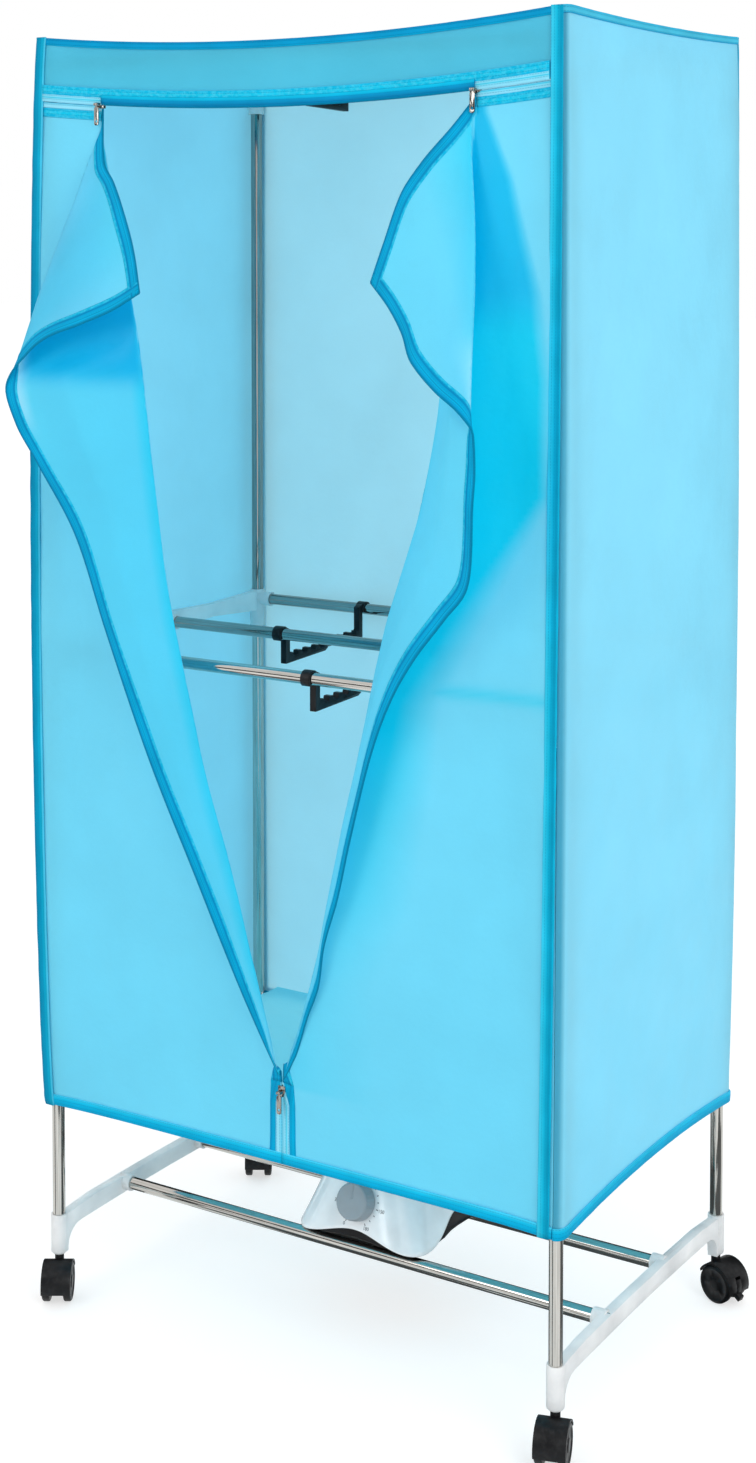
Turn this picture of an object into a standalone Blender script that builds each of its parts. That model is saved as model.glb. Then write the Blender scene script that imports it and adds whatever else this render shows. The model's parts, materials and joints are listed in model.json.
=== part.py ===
"""Portable clothes dryer: a cloth cabin with a T-shaped zip on a tube stand, with a fan heater, hooks and castors.

Metres, +Z up, and the front faces -Y. The origin lies on the floor under the middle of the whole dryer."""

import math

import bmesh
import bpy
import numpy as np
from mathutils import Matrix, Vector

# Whole dryer
STAND_HEIGHT = 1.500
POST_SPACING_X = 0.668
POST_SPACING_Y = 0.416
CLEARANCE = 0.0003
OVERRUN = 0.001

# Steel tubes and rods
TUBE_RADIUS = 0.0075
ROD_RADIUS = 0.0070
TUBE_WALL = 0.0006
TUBE_SIDES = 14

# Legs: a moulded beam between two post sockets, with a collar for each cross tube
CASTOR_HEIGHT = 0.052
LEG_SOCKET_HEIGHT = 0.048
LEG_SOCKET_RADIUS = 0.0098
LEG_BORE_DEPTH = 0.026
LEG_BEAM_WIDTH = 0.012
LEG_BEAM_LOW = 0.081
LEG_BEAM_DEPTH = 0.020
LEG_ARCH = 0.003
LEG_FILLET = 0.024
LEG_WALL = 0.0025
CROSS_TUBE_HEIGHT = 0.0957
CROSS_TUBE_SPACING = 0.150
CROSS_TUBE_OFFSET = -0.012
TUBE_COLLAR_RADIUS = 0.0100
TUBE_COLLAR_REACH = 0.010

# Tiers: a side bar with post collars and rod bosses, and three rods
MID_ROD_HEIGHT = 0.785
TOP_ROD_DROP = 0.032
COLLAR_RADIUS = 0.0105
COLLAR_BELOW = 0.037
COLLAR_ABOVE = 0.012
POST_JOINT_DROP = 0.012
BAR_WIDTH = 0.010
BAR_DEPTH = 0.026
BAR_WALL = 0.0022
BOSS_RADIUS = 0.0095
BOSS_REACH = 0.012
CAP_EDGE = 0.002

# Cover
CLOTH = 0.0008
COVER_MARGIN = 0.002
COVER_ROUND = 0.010
HEM_HEIGHT = 0.2375
HEM_BOW = 0.013
HEADER_DROP = 0.0705
TOP_SAG_FRONT = 0.0186
TOP_SAG_SIDE = 0.004
PANEL_SWELL = 0.004
ZIP_GAP = 0.003
FLAP_REACH = 0.090
FLOOR_LIFT = 0.003
FLOOR_HOLE_MARGIN = 0.007

# Zip sliders and their pulls
SLIDER_LENGTH = 0.012
SLIDER_WIDTH = 0.009
SLIDER_PLATE = 0.0014
SLIDER_GAP = 0.0006
SLIDER_NECK = 0.0014
BAIL_REACH = 0.0050
BAIL_RADIUS = 0.0007
BAIL_WIDTH = 0.0034
CHEEK = 0.0010
KNUCKLE_RADIUS = 0.0020
PULL_LENGTH = 0.024
PULL_WIDTH = 0.006
PULL_THICKNESS = 0.0012

# Hanger hooks
HOOK_RING_WALL = 0.0022
HOOK_RING_WIDTH = 0.012
HOOK_ARM_WIDTH = 0.008
HOOK_DROP = 0.038
HOOK_REACH = 0.100
HOOK_STRAP = 0.0085
HOOK_ARM_DEPTH = 0.011
HOOK_NOTCH_DEPTH = 0.0035

# Heater: a flared shell with a wavy lower edge on a dished base that straddles the cross tubes
HEATER_X = 0.017
HEATER_LOW = 0.107
HEATER_TOP = 0.250
HEATER_HALF_LOW = 0.095
HEATER_HALF_TOP = 0.058
HEATER_WALL = 0.0025
HEATER_FRONT_ARCH = 0.016
HEATER_SIDE_ARCH = 0.026
HEATER_FLARE_POWER = 1.6
HEATER_SIDES = 32
BASE_HALF_FLOOR = 0.078
BASE_BRIM_SQUARENESS_SHARE = 0.9
BASE_FLOOR = 0.003
BASE_WALL = 0.0022
BASE_OVERLAP = 0.008
SADDLE_WIDTH = 0.022
SADDLE_WALL = 0.002
SADDLE_SPACING = 0.106
INTAKE_LENGTH = 0.030
INTAKE_WIDTH = 0.005
INTAKE_RADIUS = 0.046
GLAND_RADIUS = 0.006
GLAND_REACH = 0.006
MOTOR_RADIUS = 0.018
MOTOR_HEIGHT = 0.026
SHAFT_RADIUS = 0.002
SHAFT_REACH = 0.018
FAN_RADIUS = 0.046
FAN_HUB_RADIUS = 0.013
FAN_HEIGHT = 0.014
FAN_LIFT = 0.003
BLADE_THICKNESS = 0.0016
ELEMENT_GAP = 0.013
ELEMENT_FLANGE = 0.003
ELEMENT_HALF = 0.036
ELEMENT_DEPTH = 0.016
FIN_SLOT = 0.004
FIN_PITCH = 0.008
GRILLE_THICKNESS = 0.003
GRILLE_DROP = 0.002
GRILLE_RING = 0.003
GRILLE_BAR = 0.0025
GRILLE_HUB = 0.010

# Timer and its knob, square to the sloped front of the shell
KNOB_HEIGHT = 0.153
KNOB_RADIUS = 0.022
KNOB_DEPTH = 0.017
KNOB_EDGE = 0.0015
KNOB_DISH = 0.0008
KNOB_STANDOFF = 0.0012
KNOB_SHAFT_RADIUS = 0.003
KNOB_SHAFT_LENGTH = 0.011
TIMER_SIZE = 0.032
TIMER_DEPTH = 0.016
TIMER_SEAT = 0.0006

# Castors: a hood on a stem, with two wheels on one axle
WHEEL_RADIUS = 0.0225
WHEEL_SIDES = 20
WHEEL_WIDTH = 0.0103
WHEEL_DISH = 0.0010
WHEEL_RIM = 0.0045
TREAD_EDGE = 0.0010
AXLE_RADIUS = 0.002
WEB_WIDTH = 0.0134
HOOD_WALL = 0.0018
HOOD_WIDTH = 0.035
HOOD_RIM_GAP = 0.0007
CASTOR_TRAIL = 0.012
NECK_RADIUS = 0.0055
STEM_RADIUS = 0.003
STEM_SEAT = 0.031
STEM_REACH = 0.0175
LEVER_WIDTH = 0.008
LEVER_DEPTH = 0.0065
LEVER_TOE = 0.005
LEVER_PIN_RADIUS = 0.0012
LEVER_PIN_REACH = 0.0015
LEVER_SWING_ROOM = 0.0035

# Sizes that follow from those above
HALF_X = POST_SPACING_X / 2
HALF_Y = POST_SPACING_Y / 2
COVER_X = HALF_X + COLLAR_RADIUS + COVER_MARGIN
COVER_Y = HALF_Y + COLLAR_RADIUS + COVER_MARGIN
SEAM_INSET = CLOTH + CLEARANCE
FRONT_X = COVER_X - COVER_ROUND - 2 * CLEARANCE
TOP_ROD_HEIGHT = STAND_HEIGHT - TOP_ROD_DROP
DOOR_TOP = STAND_HEIGHT - HEADER_DROP - ZIP_GAP
DOOR_HEIGHT = DOOR_TOP - HEM_HEIGHT
LEG_TOP = CASTOR_HEIGHT + LEG_SOCKET_HEIGHT
FRONT_TUBE_Y = CROSS_TUBE_OFFSET - CROSS_TUBE_SPACING / 2
BACK_TUBE_Y = CROSS_TUBE_OFFSET + CROSS_TUBE_SPACING / 2
HOOD_RADIUS = WHEEL_RADIUS + HOOD_RIM_GAP + HOOD_WALL
AXLE_HEIGHT = WHEEL_RADIUS * math.cos(math.pi / WHEEL_SIDES)
HOOK_RING = ROD_RADIUS + CLEARANCE
ELEMENT_HEIGHT = KNOB_HEIGHT + TIMER_SIZE / 2 + ELEMENT_GAP + ELEMENT_DEPTH / 2

# Heading of each castor's trail, counted from +X towards +Y, as the castors stand in use
CASTOR_HEADINGS = {"front_left": 302, "front_right": 287, "back_left": 302, "back_right": 343}
BRAKED_CASTOR = "back_right"

# The stand's place, which puts the origin under the middle of the whole dryer
TRAIL_ANGLE = math.radians(CASTOR_HEADINGS[BRAKED_CASTOR])
RIGHT_REACH = (HALF_X + (CASTOR_TRAIL + HOOD_RADIUS) * math.cos(TRAIL_ANGLE)
               + HOOD_WIDTH / 2 * abs(math.sin(TRAIL_ANGLE)))
STAND_X = (COVER_X + PANEL_SWELL - RIGHT_REACH) / 2
STAND_Y = (FLAP_REACH - PANEL_SWELL) / 2

# Door flaps. Each row gives, as shares, how far down the door it hangs, and then three places on the cloth:
# beside the slider, on the fold and on the zip edge. A place is its distance from the middle as a share of
# COVER_X, how far it stands forward as a share of FLAP_REACH, and its height as a share of DOOR_HEIGHT.
LEFT_FLAP_SHARES = (
    (0.000, (0.703, 0.000, 0.993), (0.496, 0.550, 0.874), (0.387, 0.861, 0.815)),
    (0.008, (0.706, 0.000, 0.985), (0.512, 0.555, 0.871), (0.411, 0.874, 0.812)),
    (0.050, (0.736, 0.128, 0.937), (0.595, 0.583, 0.853), (0.537, 0.939, 0.794)),
    (0.101, (0.739, 0.172, 0.887), (0.566, 0.483, 0.831), (0.693, 0.983, 0.777)),
    (0.151, (0.733, 0.172, 0.836), (0.473, 0.461, 0.801), (0.831, 0.972, 0.753)),
    (0.202, (0.722, 0.150, 0.786), (0.453, 0.450, 0.755), (0.926, 0.906, 0.714)),
    (0.303, (0.707, 0.128, 0.685), (0.418, 0.406, 0.660), (0.791, 0.694, 0.627)),
    (0.437, (0.678, 0.106, 0.551), (0.369, 0.306, 0.534), (0.615, 0.539, 0.508)),
    (0.589, (0.620, 0.083, 0.401), (0.266, 0.228, 0.389), (0.439, 0.439, 0.373)),
    (0.757, (0.548, 0.039, 0.233), (0.107, 0.150, 0.229), (0.208, 0.283, 0.225)),
)
RIGHT_FLAP_SHARES = (
    (0.000, (0.683, 0.000, 0.993), (0.537, 0.461, 0.885), (0.447, 0.772, 0.827)),
    (0.008, (0.690, 0.000, 0.985), (0.549, 0.472, 0.881), (0.466, 0.790, 0.822)),
    (0.050, (0.756, 0.150, 0.937), (0.612, 0.528, 0.862), (0.563, 0.883, 0.794)),
    (0.101, (0.762, 0.194, 0.887), (0.641, 0.461, 0.833), (0.652, 0.972, 0.758)),
    (0.151, (0.762, 0.194, 0.836), (0.652, 0.417, 0.791), (0.779, 1.000, 0.729)),
    (0.202, (0.762, 0.194, 0.786), (0.641, 0.417, 0.741), (0.866, 0.994, 0.692)),
    (0.303, (0.756, 0.194, 0.685), (0.571, 0.417, 0.643), (0.825, 0.883, 0.598)),
    (0.437, (0.707, 0.172, 0.551), (0.444, 0.372, 0.527), (0.577, 0.683, 0.494)),
    (0.589, (0.649, 0.128, 0.401), (0.312, 0.272, 0.386), (0.378, 0.483, 0.365)),
    (0.757, (0.577, 0.061, 0.233), (0.167, 0.150, 0.226), (0.202, 0.239, 0.217)),
)
FLAP_BULGE_SHARE = 0.12

# Below the open part the zip is done up, to a share of DOOR_HEIGHT, and the cloth hangs flat
ZIPPED_SHARE = 0.077
FLAT_PLACES_SHARES = (0.491, 0.058, 0.000)

# Where each hook hangs along its rod, as a share of HALF_X, and which way its arm points
HOOKS = {
    "hook_front": ("front", "mid", 0.083, 1),
    "hook_middle": ("middle", "mid", -0.462, 1),
    "hook_back": ("back", "mid", -0.499, -1),
    "hook_top": ("back", "top", -0.562, -1),
}


def clear_scene():
    for item in list(bpy.data.objects):
        bpy.data.objects.remove(item, do_unlink=True)


def material(name, colour, roughness, metallic=0.0):
    made = bpy.data.materials.new(name)
    made.use_nodes = True
    shader = made.node_tree.nodes["Principled BSDF"]
    shader.inputs["Base Color"].default_value = (*colour, 1.0)
    shader.inputs["Roughness"].default_value = roughness
    shader.inputs["Metallic"].default_value = metallic
    made.diffuse_color = (*colour, 1.0)
    return made


def make_materials():
    return {
        "steel": material("steel", (0.62, 0.62, 0.60), 0.22, 1.0),
        "zinc": material("zinc", (0.70, 0.70, 0.70), 0.30, 1.0),
        "white": material("white_plastic", (0.80, 0.84, 0.88), 0.45),
        "shell": material("white_gloss", (0.76, 0.82, 0.87), 0.18),
        "black": material("black_plastic", (0.012, 0.013, 0.015), 0.45),
        "grey": material("grey_plastic", (0.35, 0.40, 0.43), 0.40),
        "cloth": material("blue_cloth", (0.10, 0.60, 0.85), 0.75),
        "ceramic": material("ceramic", (0.45, 0.42, 0.38), 0.70),
        "copper": material("motor_steel", (0.45, 0.43, 0.40), 0.40, 1.0),
    }


def add_object(name, bm, finish, parent, location=(0, 0, 0), rotation=(0, 0, 0)):
    bmesh.ops.remove_doubles(bm, verts=bm.verts, dist=CLEARANCE / 100)
    bmesh.ops.recalc_face_normals(bm, faces=bm.faces)
    mesh = bpy.data.meshes.new(name)
    bm.to_mesh(mesh)
    bm.free()
    mesh.shade_smooth()
    mesh.set_sharp_from_angle(angle=math.radians(35))
    if finish:
        mesh.materials.append(finish)
    item = bpy.data.objects.new(name, mesh)
    bpy.context.scene.collection.objects.link(item)
    item.parent = parent
    item.location = location
    item.rotation_euler = rotation
    return item


def add_empty(name, parent, location=(0, 0, 0), rotation=(0, 0, 0)):
    item = bpy.data.objects.new(name, None)
    bpy.context.scene.collection.objects.link(item)
    item.parent = parent
    item.location = location
    item.rotation_euler = rotation
    return item


def combine(target, name, bm, operation, location=(0, 0, 0), rotation=(0, 0, 0)):
    """Adds the shape to the target, or cuts it out, in the target's own frame."""
    tool = add_object(name, bm, None, target, location, rotation)
    tool.hide_render = True
    tool.display_type = "WIRE"
    change = target.modifiers.new(name, "BOOLEAN")
    change.operation = operation
    change.solver = "EXACT"
    change.object = tool
    return tool


def cut(target, name, bm, location=(0, 0, 0), rotation=(0, 0, 0)):
    return combine(target, name, bm, "DIFFERENCE", location, rotation)


def join(target, name, bm, location=(0, 0, 0), rotation=(0, 0, 0)):
    return combine(target, name, bm, "UNION", location, rotation)


def arc(centre, radius, start, end, steps):
    """Points along an arc, from one angle to the other in degrees."""
    angles = (math.radians(start + (end - start) * i / steps) for i in range(steps + 1))
    return [(centre[0] + radius * math.cos(a), centre[1] + radius * math.sin(a)) for a in angles]


def turned(profile, sides=TUBE_SIDES, closed=False, axis="Z"):
    """A shape turned about an axis from (radius, height) points. Closed profiles make a ring."""
    bm = bmesh.new()
    verts = [bm.verts.new((r, 0, z)) for r, z in profile]
    edges = [bm.edges.new(pair) for pair in zip(verts, verts[1:])]
    if closed:
        edges.append(bm.edges.new((verts[-1], verts[0])))
    bmesh.ops.spin(bm, geom=verts + edges, cent=(0, 0, 0), axis=(0, 0, 1), angle=math.tau,
                   steps=sides, use_merge=True, use_duplicate=False)
    bmesh.ops.remove_doubles(bm, verts=bm.verts, dist=CLEARANCE / 100)
    tips = [v for v in bm.verts if v.co.xy.length < CLEARANCE / 100]
    bmesh.ops.dissolve_verts(bm, verts=tips)
    if axis == "X":
        bmesh.ops.rotate(bm, verts=bm.verts, cent=(0, 0, 0), matrix=Matrix.Rotation(math.pi / 2, 3, "Y"))
    return bm


def cylinder(radius, low, high, sides=TUBE_SIDES, axis="Z"):
    return turned([(0, low), (radius, low), (radius, high), (0, high)], sides, axis=axis)


def pipe(outer, inner, low, high, sides=TUBE_SIDES, axis="Z"):
    return turned([(inner, low), (outer, low), (outer, high), (inner, high)], sides, True, axis)


def plate(outline, low, high):
    """An outline in (y, z) pulled out along X, from low to high."""
    bm = bmesh.new()
    face = bm.faces.new([bm.verts.new((low, y, z)) for y, z in outline])
    pulled = bmesh.ops.extrude_face_region(bm, geom=[face])
    moved = [v for v in pulled["geom"] if isinstance(v, bmesh.types.BMVert)]
    bmesh.ops.translate(bm, verts=moved, vec=(high - low, 0, 0))
    return bm


def box(low, high):
    """A box between two corners."""
    bm = bmesh.new()
    bmesh.ops.create_cube(bm, size=1.0)
    middle = (Vector(low) + Vector(high)) / 2
    size = Vector(high) - Vector(low)
    bmesh.ops.scale(bm, verts=bm.verts, vec=size)
    bmesh.ops.translate(bm, verts=bm.verts, vec=middle)
    return bm


def gather(*shapes):
    """Several separate shapes in one mesh, for a tool that cuts or adds them all at once."""
    bm = bmesh.new()
    for shape in shapes:
        mesh = bpy.data.meshes.new("part_of_tool")
        bmesh.ops.recalc_face_normals(shape, faces=shape.faces)
        shape.to_mesh(mesh)
        shape.free()
        bm.from_mesh(mesh)
        bpy.data.meshes.remove(mesh)
    return bm


def placed(bm, matrix):
    bmesh.ops.transform(bm, matrix=matrix, verts=bm.verts)
    return bm


def loft(rings, joined=False, capped=False):
    """Skins a row of equal rings. Joined skins the last to the first; capped closes both ends with fans."""
    bm = bmesh.new()
    rows = [[bm.verts.new(p) for p in ring] for ring in rings]
    pairs = list(zip(rows, rows[1:]))
    if joined:
        pairs.append((rows[-1], rows[0]))
    count = len(rows[0])
    for lower, upper in pairs:
        for i in range(count):
            j = (i + 1) % count
            bm.faces.new((lower[i], lower[j], upper[j], upper[i]))
    if capped:
        for row in (rows[0], rows[-1]):
            centre = bm.verts.new(sum((v.co for v in row), Vector()) / count)
            for i in range(count):
                bm.faces.new((row[i], row[(i + 1) % count], centre))
    return bm


def sheet(name, rows, finish, parent):
    """A cloth panel: a grid of points given row by row, made as thick as the cloth."""
    bm = bmesh.new()
    grid = [[bm.verts.new(p) for p in row] for row in rows]
    for near, far in zip(grid, grid[1:]):
        for i in range(len(near) - 1):
            bm.faces.new((near[i], near[i + 1], far[i + 1], far[i]))
    return thicken(add_object(name, bm, finish, parent))


def thicken(item):
    solidify = item.modifiers.new("cloth", "SOLIDIFY")
    solidify.thickness = CLOTH
    solidify.offset = 0
    solidify.use_even_offset = False
    return item


def shares(count):
    return [i / count for i in range(count + 1)]


# Stand


def leg_outline():
    """One side of the leg: two sockets joined by a beam that arches up between concave fillets."""
    side = HALF_Y - LEG_SOCKET_RADIUS
    high = LEG_BEAM_LOW + LEG_BEAM_DEPTH
    turn = LEG_BEAM_LOW - LEG_FILLET
    steps = 8
    under = [(HALF_Y, CASTOR_HEIGHT), (side, CASTOR_HEIGHT)]
    under += arc((side - LEG_FILLET, turn), LEG_FILLET, 0, 90, 5)
    run = 2 * (side - LEG_FILLET)
    for share in shares(steps)[1:-1]:
        under.append((run * (0.5 - share), LEG_BEAM_LOW + LEG_ARCH * math.sin(math.pi * share)))
    left = [(-y, z) for y, z in reversed(under[:8])]
    over = [(2 * side * (share - 0.5), high + LEG_ARCH * math.sin(math.pi * share)) for share in shares(steps)]
    ends = LEG_TOP - LEG_WALL
    return under + left + [(-HALF_Y, ends), (-side, ends)] + over[1:-1] + [(side, ends), (HALF_Y, ends)]


def post_socket():
    """The upright barrel at a leg's end, with its lower edge drawn in."""
    edge = LEG_WALL
    profile = [(0, CASTOR_HEIGHT), (LEG_SOCKET_RADIUS - edge, CASTOR_HEIGHT), (LEG_SOCKET_RADIUS, CASTOR_HEIGHT + edge),
               (LEG_SOCKET_RADIUS, LEG_TOP), (0, LEG_TOP)]
    return turned(profile)


def make_leg(name, side, finish, stand):
    leg = add_object(name, plate(leg_outline(), -LEG_BEAM_WIDTH / 2, LEG_BEAM_WIDTH / 2), finish, stand,
                     (side * HALF_X, 0, 0))
    for y in (-HALF_Y, HALF_Y):
        join(leg, name + "_socket", post_socket(), (0, y, 0))
    inner = LEG_BEAM_WIDTH / 2 + TUBE_COLLAR_REACH
    bore = TUBE_RADIUS + CLEARANCE
    for y in (FRONT_TUBE_Y, BACK_TUBE_Y):
        place = (0, y, CROSS_TUBE_HEIGHT)
        turn = (0, 0, math.pi if side > 0 else 0)
        join(leg, name + "_collar", cylinder(TUBE_COLLAR_RADIUS, 0, inner, axis="X"), place, turn)
        cut(leg, name + "_tube_bore", cylinder(bore, -LEG_BEAM_WIDTH / 2 + LEG_WALL, inner + OVERRUN, axis="X"),
            place, turn)
    for y in (-HALF_Y, HALF_Y):
        cut(leg, name + "_post_bore", cylinder(bore, LEG_TOP - LEG_BORE_DEPTH, LEG_TOP + OVERRUN), (0, y, 0))
        stem_bore = cylinder(STEM_RADIUS + CLEARANCE, CASTOR_HEIGHT - OVERRUN, CASTOR_HEIGHT + STEM_REACH + CLEARANCE, 12)
        cut(leg, name + "_stem_bore", stem_bore, (0, y, 0))
    cut(leg, name + "_hollow", leg_hollows())


def leg_hollows():
    """The beam is hollow from below, between the sockets and the solid blocks round the cross tubes."""
    half = LEG_BEAM_WIDTH / 2 - LEG_WALL
    block = TUBE_COLLAR_RADIUS + LEG_WALL
    ends = [-HALF_Y + LEG_SOCKET_RADIUS + LEG_FILLET, FRONT_TUBE_Y - block, FRONT_TUBE_Y + block,
            BACK_TUBE_Y - block, BACK_TUBE_Y + block, HALF_Y - LEG_SOCKET_RADIUS - LEG_FILLET]
    low = LEG_BEAM_LOW - OVERRUN
    high = LEG_BEAM_LOW + LEG_BEAM_DEPTH - LEG_WALL
    return gather(*(box((-half, a, low), (half, b, high)) for a, b in zip(ends[::2], ends[1::2])))


def make_cross_tube(name, y, finish, stand):
    half = HALF_X + LEG_BEAM_WIDTH / 2 - LEG_WALL - CLEARANCE
    add_object(name, pipe(TUBE_RADIUS, TUBE_RADIUS - TUBE_WALL, -half, half, axis="X"), finish, stand,
               (0, y, CROSS_TUBE_HEIGHT))


def make_posts(finish, stand):
    """Each post is two tubes that meet inside the middle tier's collar."""
    meet = MID_ROD_HEIGHT - POST_JOINT_DROP
    runs = {
        "lower_post": (LEG_TOP - LEG_BORE_DEPTH + CLEARANCE, meet - CLEARANCE / 2),
        "upper_post": (meet + CLEARANCE / 2, TOP_ROD_HEIGHT + COLLAR_ABOVE - CLEARANCE),
    }
    for kind, (low, high) in runs.items():
        for row, y in (("front", -HALF_Y), ("back", HALF_Y)):
            for side, x in (("left", -HALF_X), ("right", HALF_X)):
                tube = pipe(TUBE_RADIUS, TUBE_RADIUS - TUBE_WALL, 0, high - low)
                add_object(f"{kind}_{row}_{side}", tube, finish, stand, (x, y, low))


# Tiers


def bar_outline():
    """The side bar's web: deepest at the collars and waisted between them and the middle boss."""
    waist = BAR_DEPTH / 4
    reach = HALF_Y - COLLAR_RADIUS / 2
    count = 8
    top = []
    bottom = []
    for share in shares(count):
        y = reach * (2 * share - 1)
        pinch = waist * math.sin(2 * math.pi * share) ** 2
        top.append((y, COLLAR_ABOVE - CAP_EDGE - pinch / 2))
        bottom.append((y, COLLAR_ABOVE - CAP_EDGE - BAR_DEPTH + pinch))
    return bottom + top[::-1]


def make_bar(name, side, height, cap, finish, stand):
    """A moulded side bar. Its collars take the posts, closed by caps on the top tier, and its bosses the rods."""
    bar = add_object(name, plate(bar_outline(), -BAR_WIDTH / 2, BAR_WIDTH / 2), finish, stand,
                     (side * HALF_X, 0, height))
    for y in (-HALF_Y, HALF_Y):
        top = COLLAR_ABOVE + cap
        edge = CAP_EDGE
        profile = [(0, -COLLAR_BELOW), (COLLAR_RADIUS, -COLLAR_BELOW), (COLLAR_RADIUS, top - edge),
                   (COLLAR_RADIUS - edge, top), (0, top)]
        join(bar, name + "_collar", turned(profile), (0, y, 0))
    inward = -side
    reach = COLLAR_RADIUS + BOSS_REACH
    turn = (0, 0, math.pi if inward < 0 else 0)
    for y in (-HALF_Y, 0, HALF_Y):
        join(bar, name + "_boss", cylinder(BOSS_RADIUS, BAR_WIDTH / 4, reach, axis="X"), (0, y, 0), turn)
        bore = cylinder(ROD_RADIUS + CLEARANCE, COLLAR_RADIUS - CLEARANCE, reach + OVERRUN, axis="X")
        cut(bar, name + "_rod_bore", bore, (0, y, 0), turn)
    for y in (-HALF_Y, HALF_Y):
        bore_top = COLLAR_ABOVE if cap else COLLAR_ABOVE + OVERRUN
        cut(bar, name + "_post_bore", cylinder(TUBE_RADIUS + CLEARANCE, -COLLAR_BELOW - OVERRUN, bore_top), (0, y, 0))


def make_rod(name, y, height, finish, stand):
    half = HALF_X - COLLAR_RADIUS
    add_object(name, pipe(ROD_RADIUS, ROD_RADIUS - TUBE_WALL, -half, half, axis="X"), finish, stand, (0, y, height))


def make_tiers(mats, stand):
    crown = COLLAR_RADIUS - CAP_EDGE
    cap = top_height(HALF_X - crown, HALF_Y - crown) - CLOTH / 2 - CLEARANCE - TOP_ROD_HEIGHT - COLLAR_ABOVE
    for tier, height, rise in (("mid", MID_ROD_HEIGHT, 0), ("top", TOP_ROD_HEIGHT, cap)):
        for side, sign in (("left", -1), ("right", 1)):
            make_bar(f"{tier}_bar_{side}", sign, height, rise, mats["white"], stand)
        for row, y in (("front", -HALF_Y), ("middle", 0), ("back", HALF_Y)):
            make_rod(f"{tier}_rod_{row}", y, height, mats["steel"], stand)


# Hooks


def hook_ring():
    """A clip open below and in front, so that it snaps over the rod from above."""
    outer = arc((0, 0), HOOK_RING + HOOK_RING_WALL, -20, 235, 11)
    inner = arc((0, 0), HOOK_RING, 235, -20, 11)
    return outer + inner


def hook_arm():
    """A strap down behind the rod and a tapering arm with round notches that keep hangers apart."""
    near = HOOK_RING
    far = near + HOOK_STRAP
    deep = HOOK_ARM_DEPTH
    low = -HOOK_DROP
    outline = [(near, low), (HOOK_REACH - deep / 2, low + deep / 4), (HOOK_REACH, low + deep / 2),
               (HOOK_REACH, low + deep)]
    notches = 4
    start = far + deep / 4
    pitch = (HOOK_REACH - HOOK_NOTCH_DEPTH - start) / notches
    for i in reversed(range(notches)):
        middle = (start + pitch * (i + 0.5), low + deep + HOOK_NOTCH_DEPTH / 2)
        outline += arc(middle, pitch / 2 * 0.7, 0, -180, 4)
    outline += [(start, low + deep), (far, low + deep + deep / 4), (far, near / 2), (near, near)]
    return outline


def make_hook(name, row, tier, share, way, finish, stand):
    y = {"front": -HALF_Y, "middle": 0, "back": HALF_Y}[row]
    height = MID_ROD_HEIGHT if tier == "mid" else TOP_ROD_HEIGHT
    turn = 0 if way > 0 else math.pi
    half = HOOK_ARM_WIDTH / 2
    hook = add_object(name, plate(hook_arm(), -half, half), finish, stand, (share * HALF_X, y, height), (0, 0, turn))
    join(hook, name + "_clip", plate(hook_ring(), -HOOK_RING_WIDTH / 2, HOOK_RING_WIDTH / 2))
    cut(hook, name + "_rod_way", cylinder(HOOK_RING, -HOOK_RING_WIDTH, HOOK_RING_WIDTH, axis="X"))


# Cover


def top_height(x, y):
    """The top hangs between its four corners."""
    return (STAND_HEIGHT - TOP_SAG_FRONT * (1 - (x / COVER_X) ** 2)
            - TOP_SAG_SIDE * (1 - (y / COVER_Y) ** 2))


def hem_height(y):
    return HEM_HEIGHT + HEM_BOW * (1 - (y / COVER_Y) ** 2)


def swell(share_up, share_across):
    return PANEL_SWELL * math.sin(math.pi * share_up) * math.sin(math.pi * share_across)


def cover_plan(inset=0.0):
    """Half of the cover's outline seen from above: a side that turns round both its corners, front to back."""
    centre = (COVER_X - COVER_ROUND, COVER_Y - COVER_ROUND)
    corner = arc(centre, COVER_ROUND - inset, 90, 0, 3)
    middle = [(COVER_X - inset, 2 * centre[1] * (share - 0.5)) for share in shares(4)[1:-1]]
    return [(x, -y) for x, y in corner] + middle + corner[::-1]


def make_side_panel(name, side, finish, stand):
    rows = []
    for up in shares(6):
        row = []
        for x, y in cover_plan():
            low, high = hem_height(y), top_height(x, y)
            out = swell(up, (y + COVER_Y) / (2 * COVER_Y))
            row.append((side * (x + out), y, low + (high - low) * up))
        rows.append(row)
    sheet(name, rows, finish, stand)


def make_back_panel(finish, stand):
    rows = []
    for up in shares(8):
        row = []
        for across in shares(8):
            x = FRONT_X * (2 * across - 1)
            high = top_height(x, COVER_Y)
            row.append((x, COVER_Y + swell(up, across), HEM_HEIGHT + (high - HEM_HEIGHT) * up))
        rows.append(row)
    sheet("cover_back", rows, finish, stand)


def make_top_panel(finish, stand):
    """The top and the front header under it, one piece of cloth bent over the front edge."""
    columns = [2 * share - 1 for share in shares(8)]
    rows = []
    for drop in (1, 0.5):
        rows.append([(x * FRONT_X, -COVER_Y, top_height(x * FRONT_X, COVER_Y) - HEADER_DROP * drop) for x in columns])
    rows.append([(x * FRONT_X, -COVER_Y, top_height(x * FRONT_X, COVER_Y)) for x in columns])
    for half, y in cover_plan(SEAM_INSET):
        rows.append([(x * half, y, top_height(x * half, y)) for x in columns])
    sheet("cover_top", rows, finish, stand)


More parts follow.
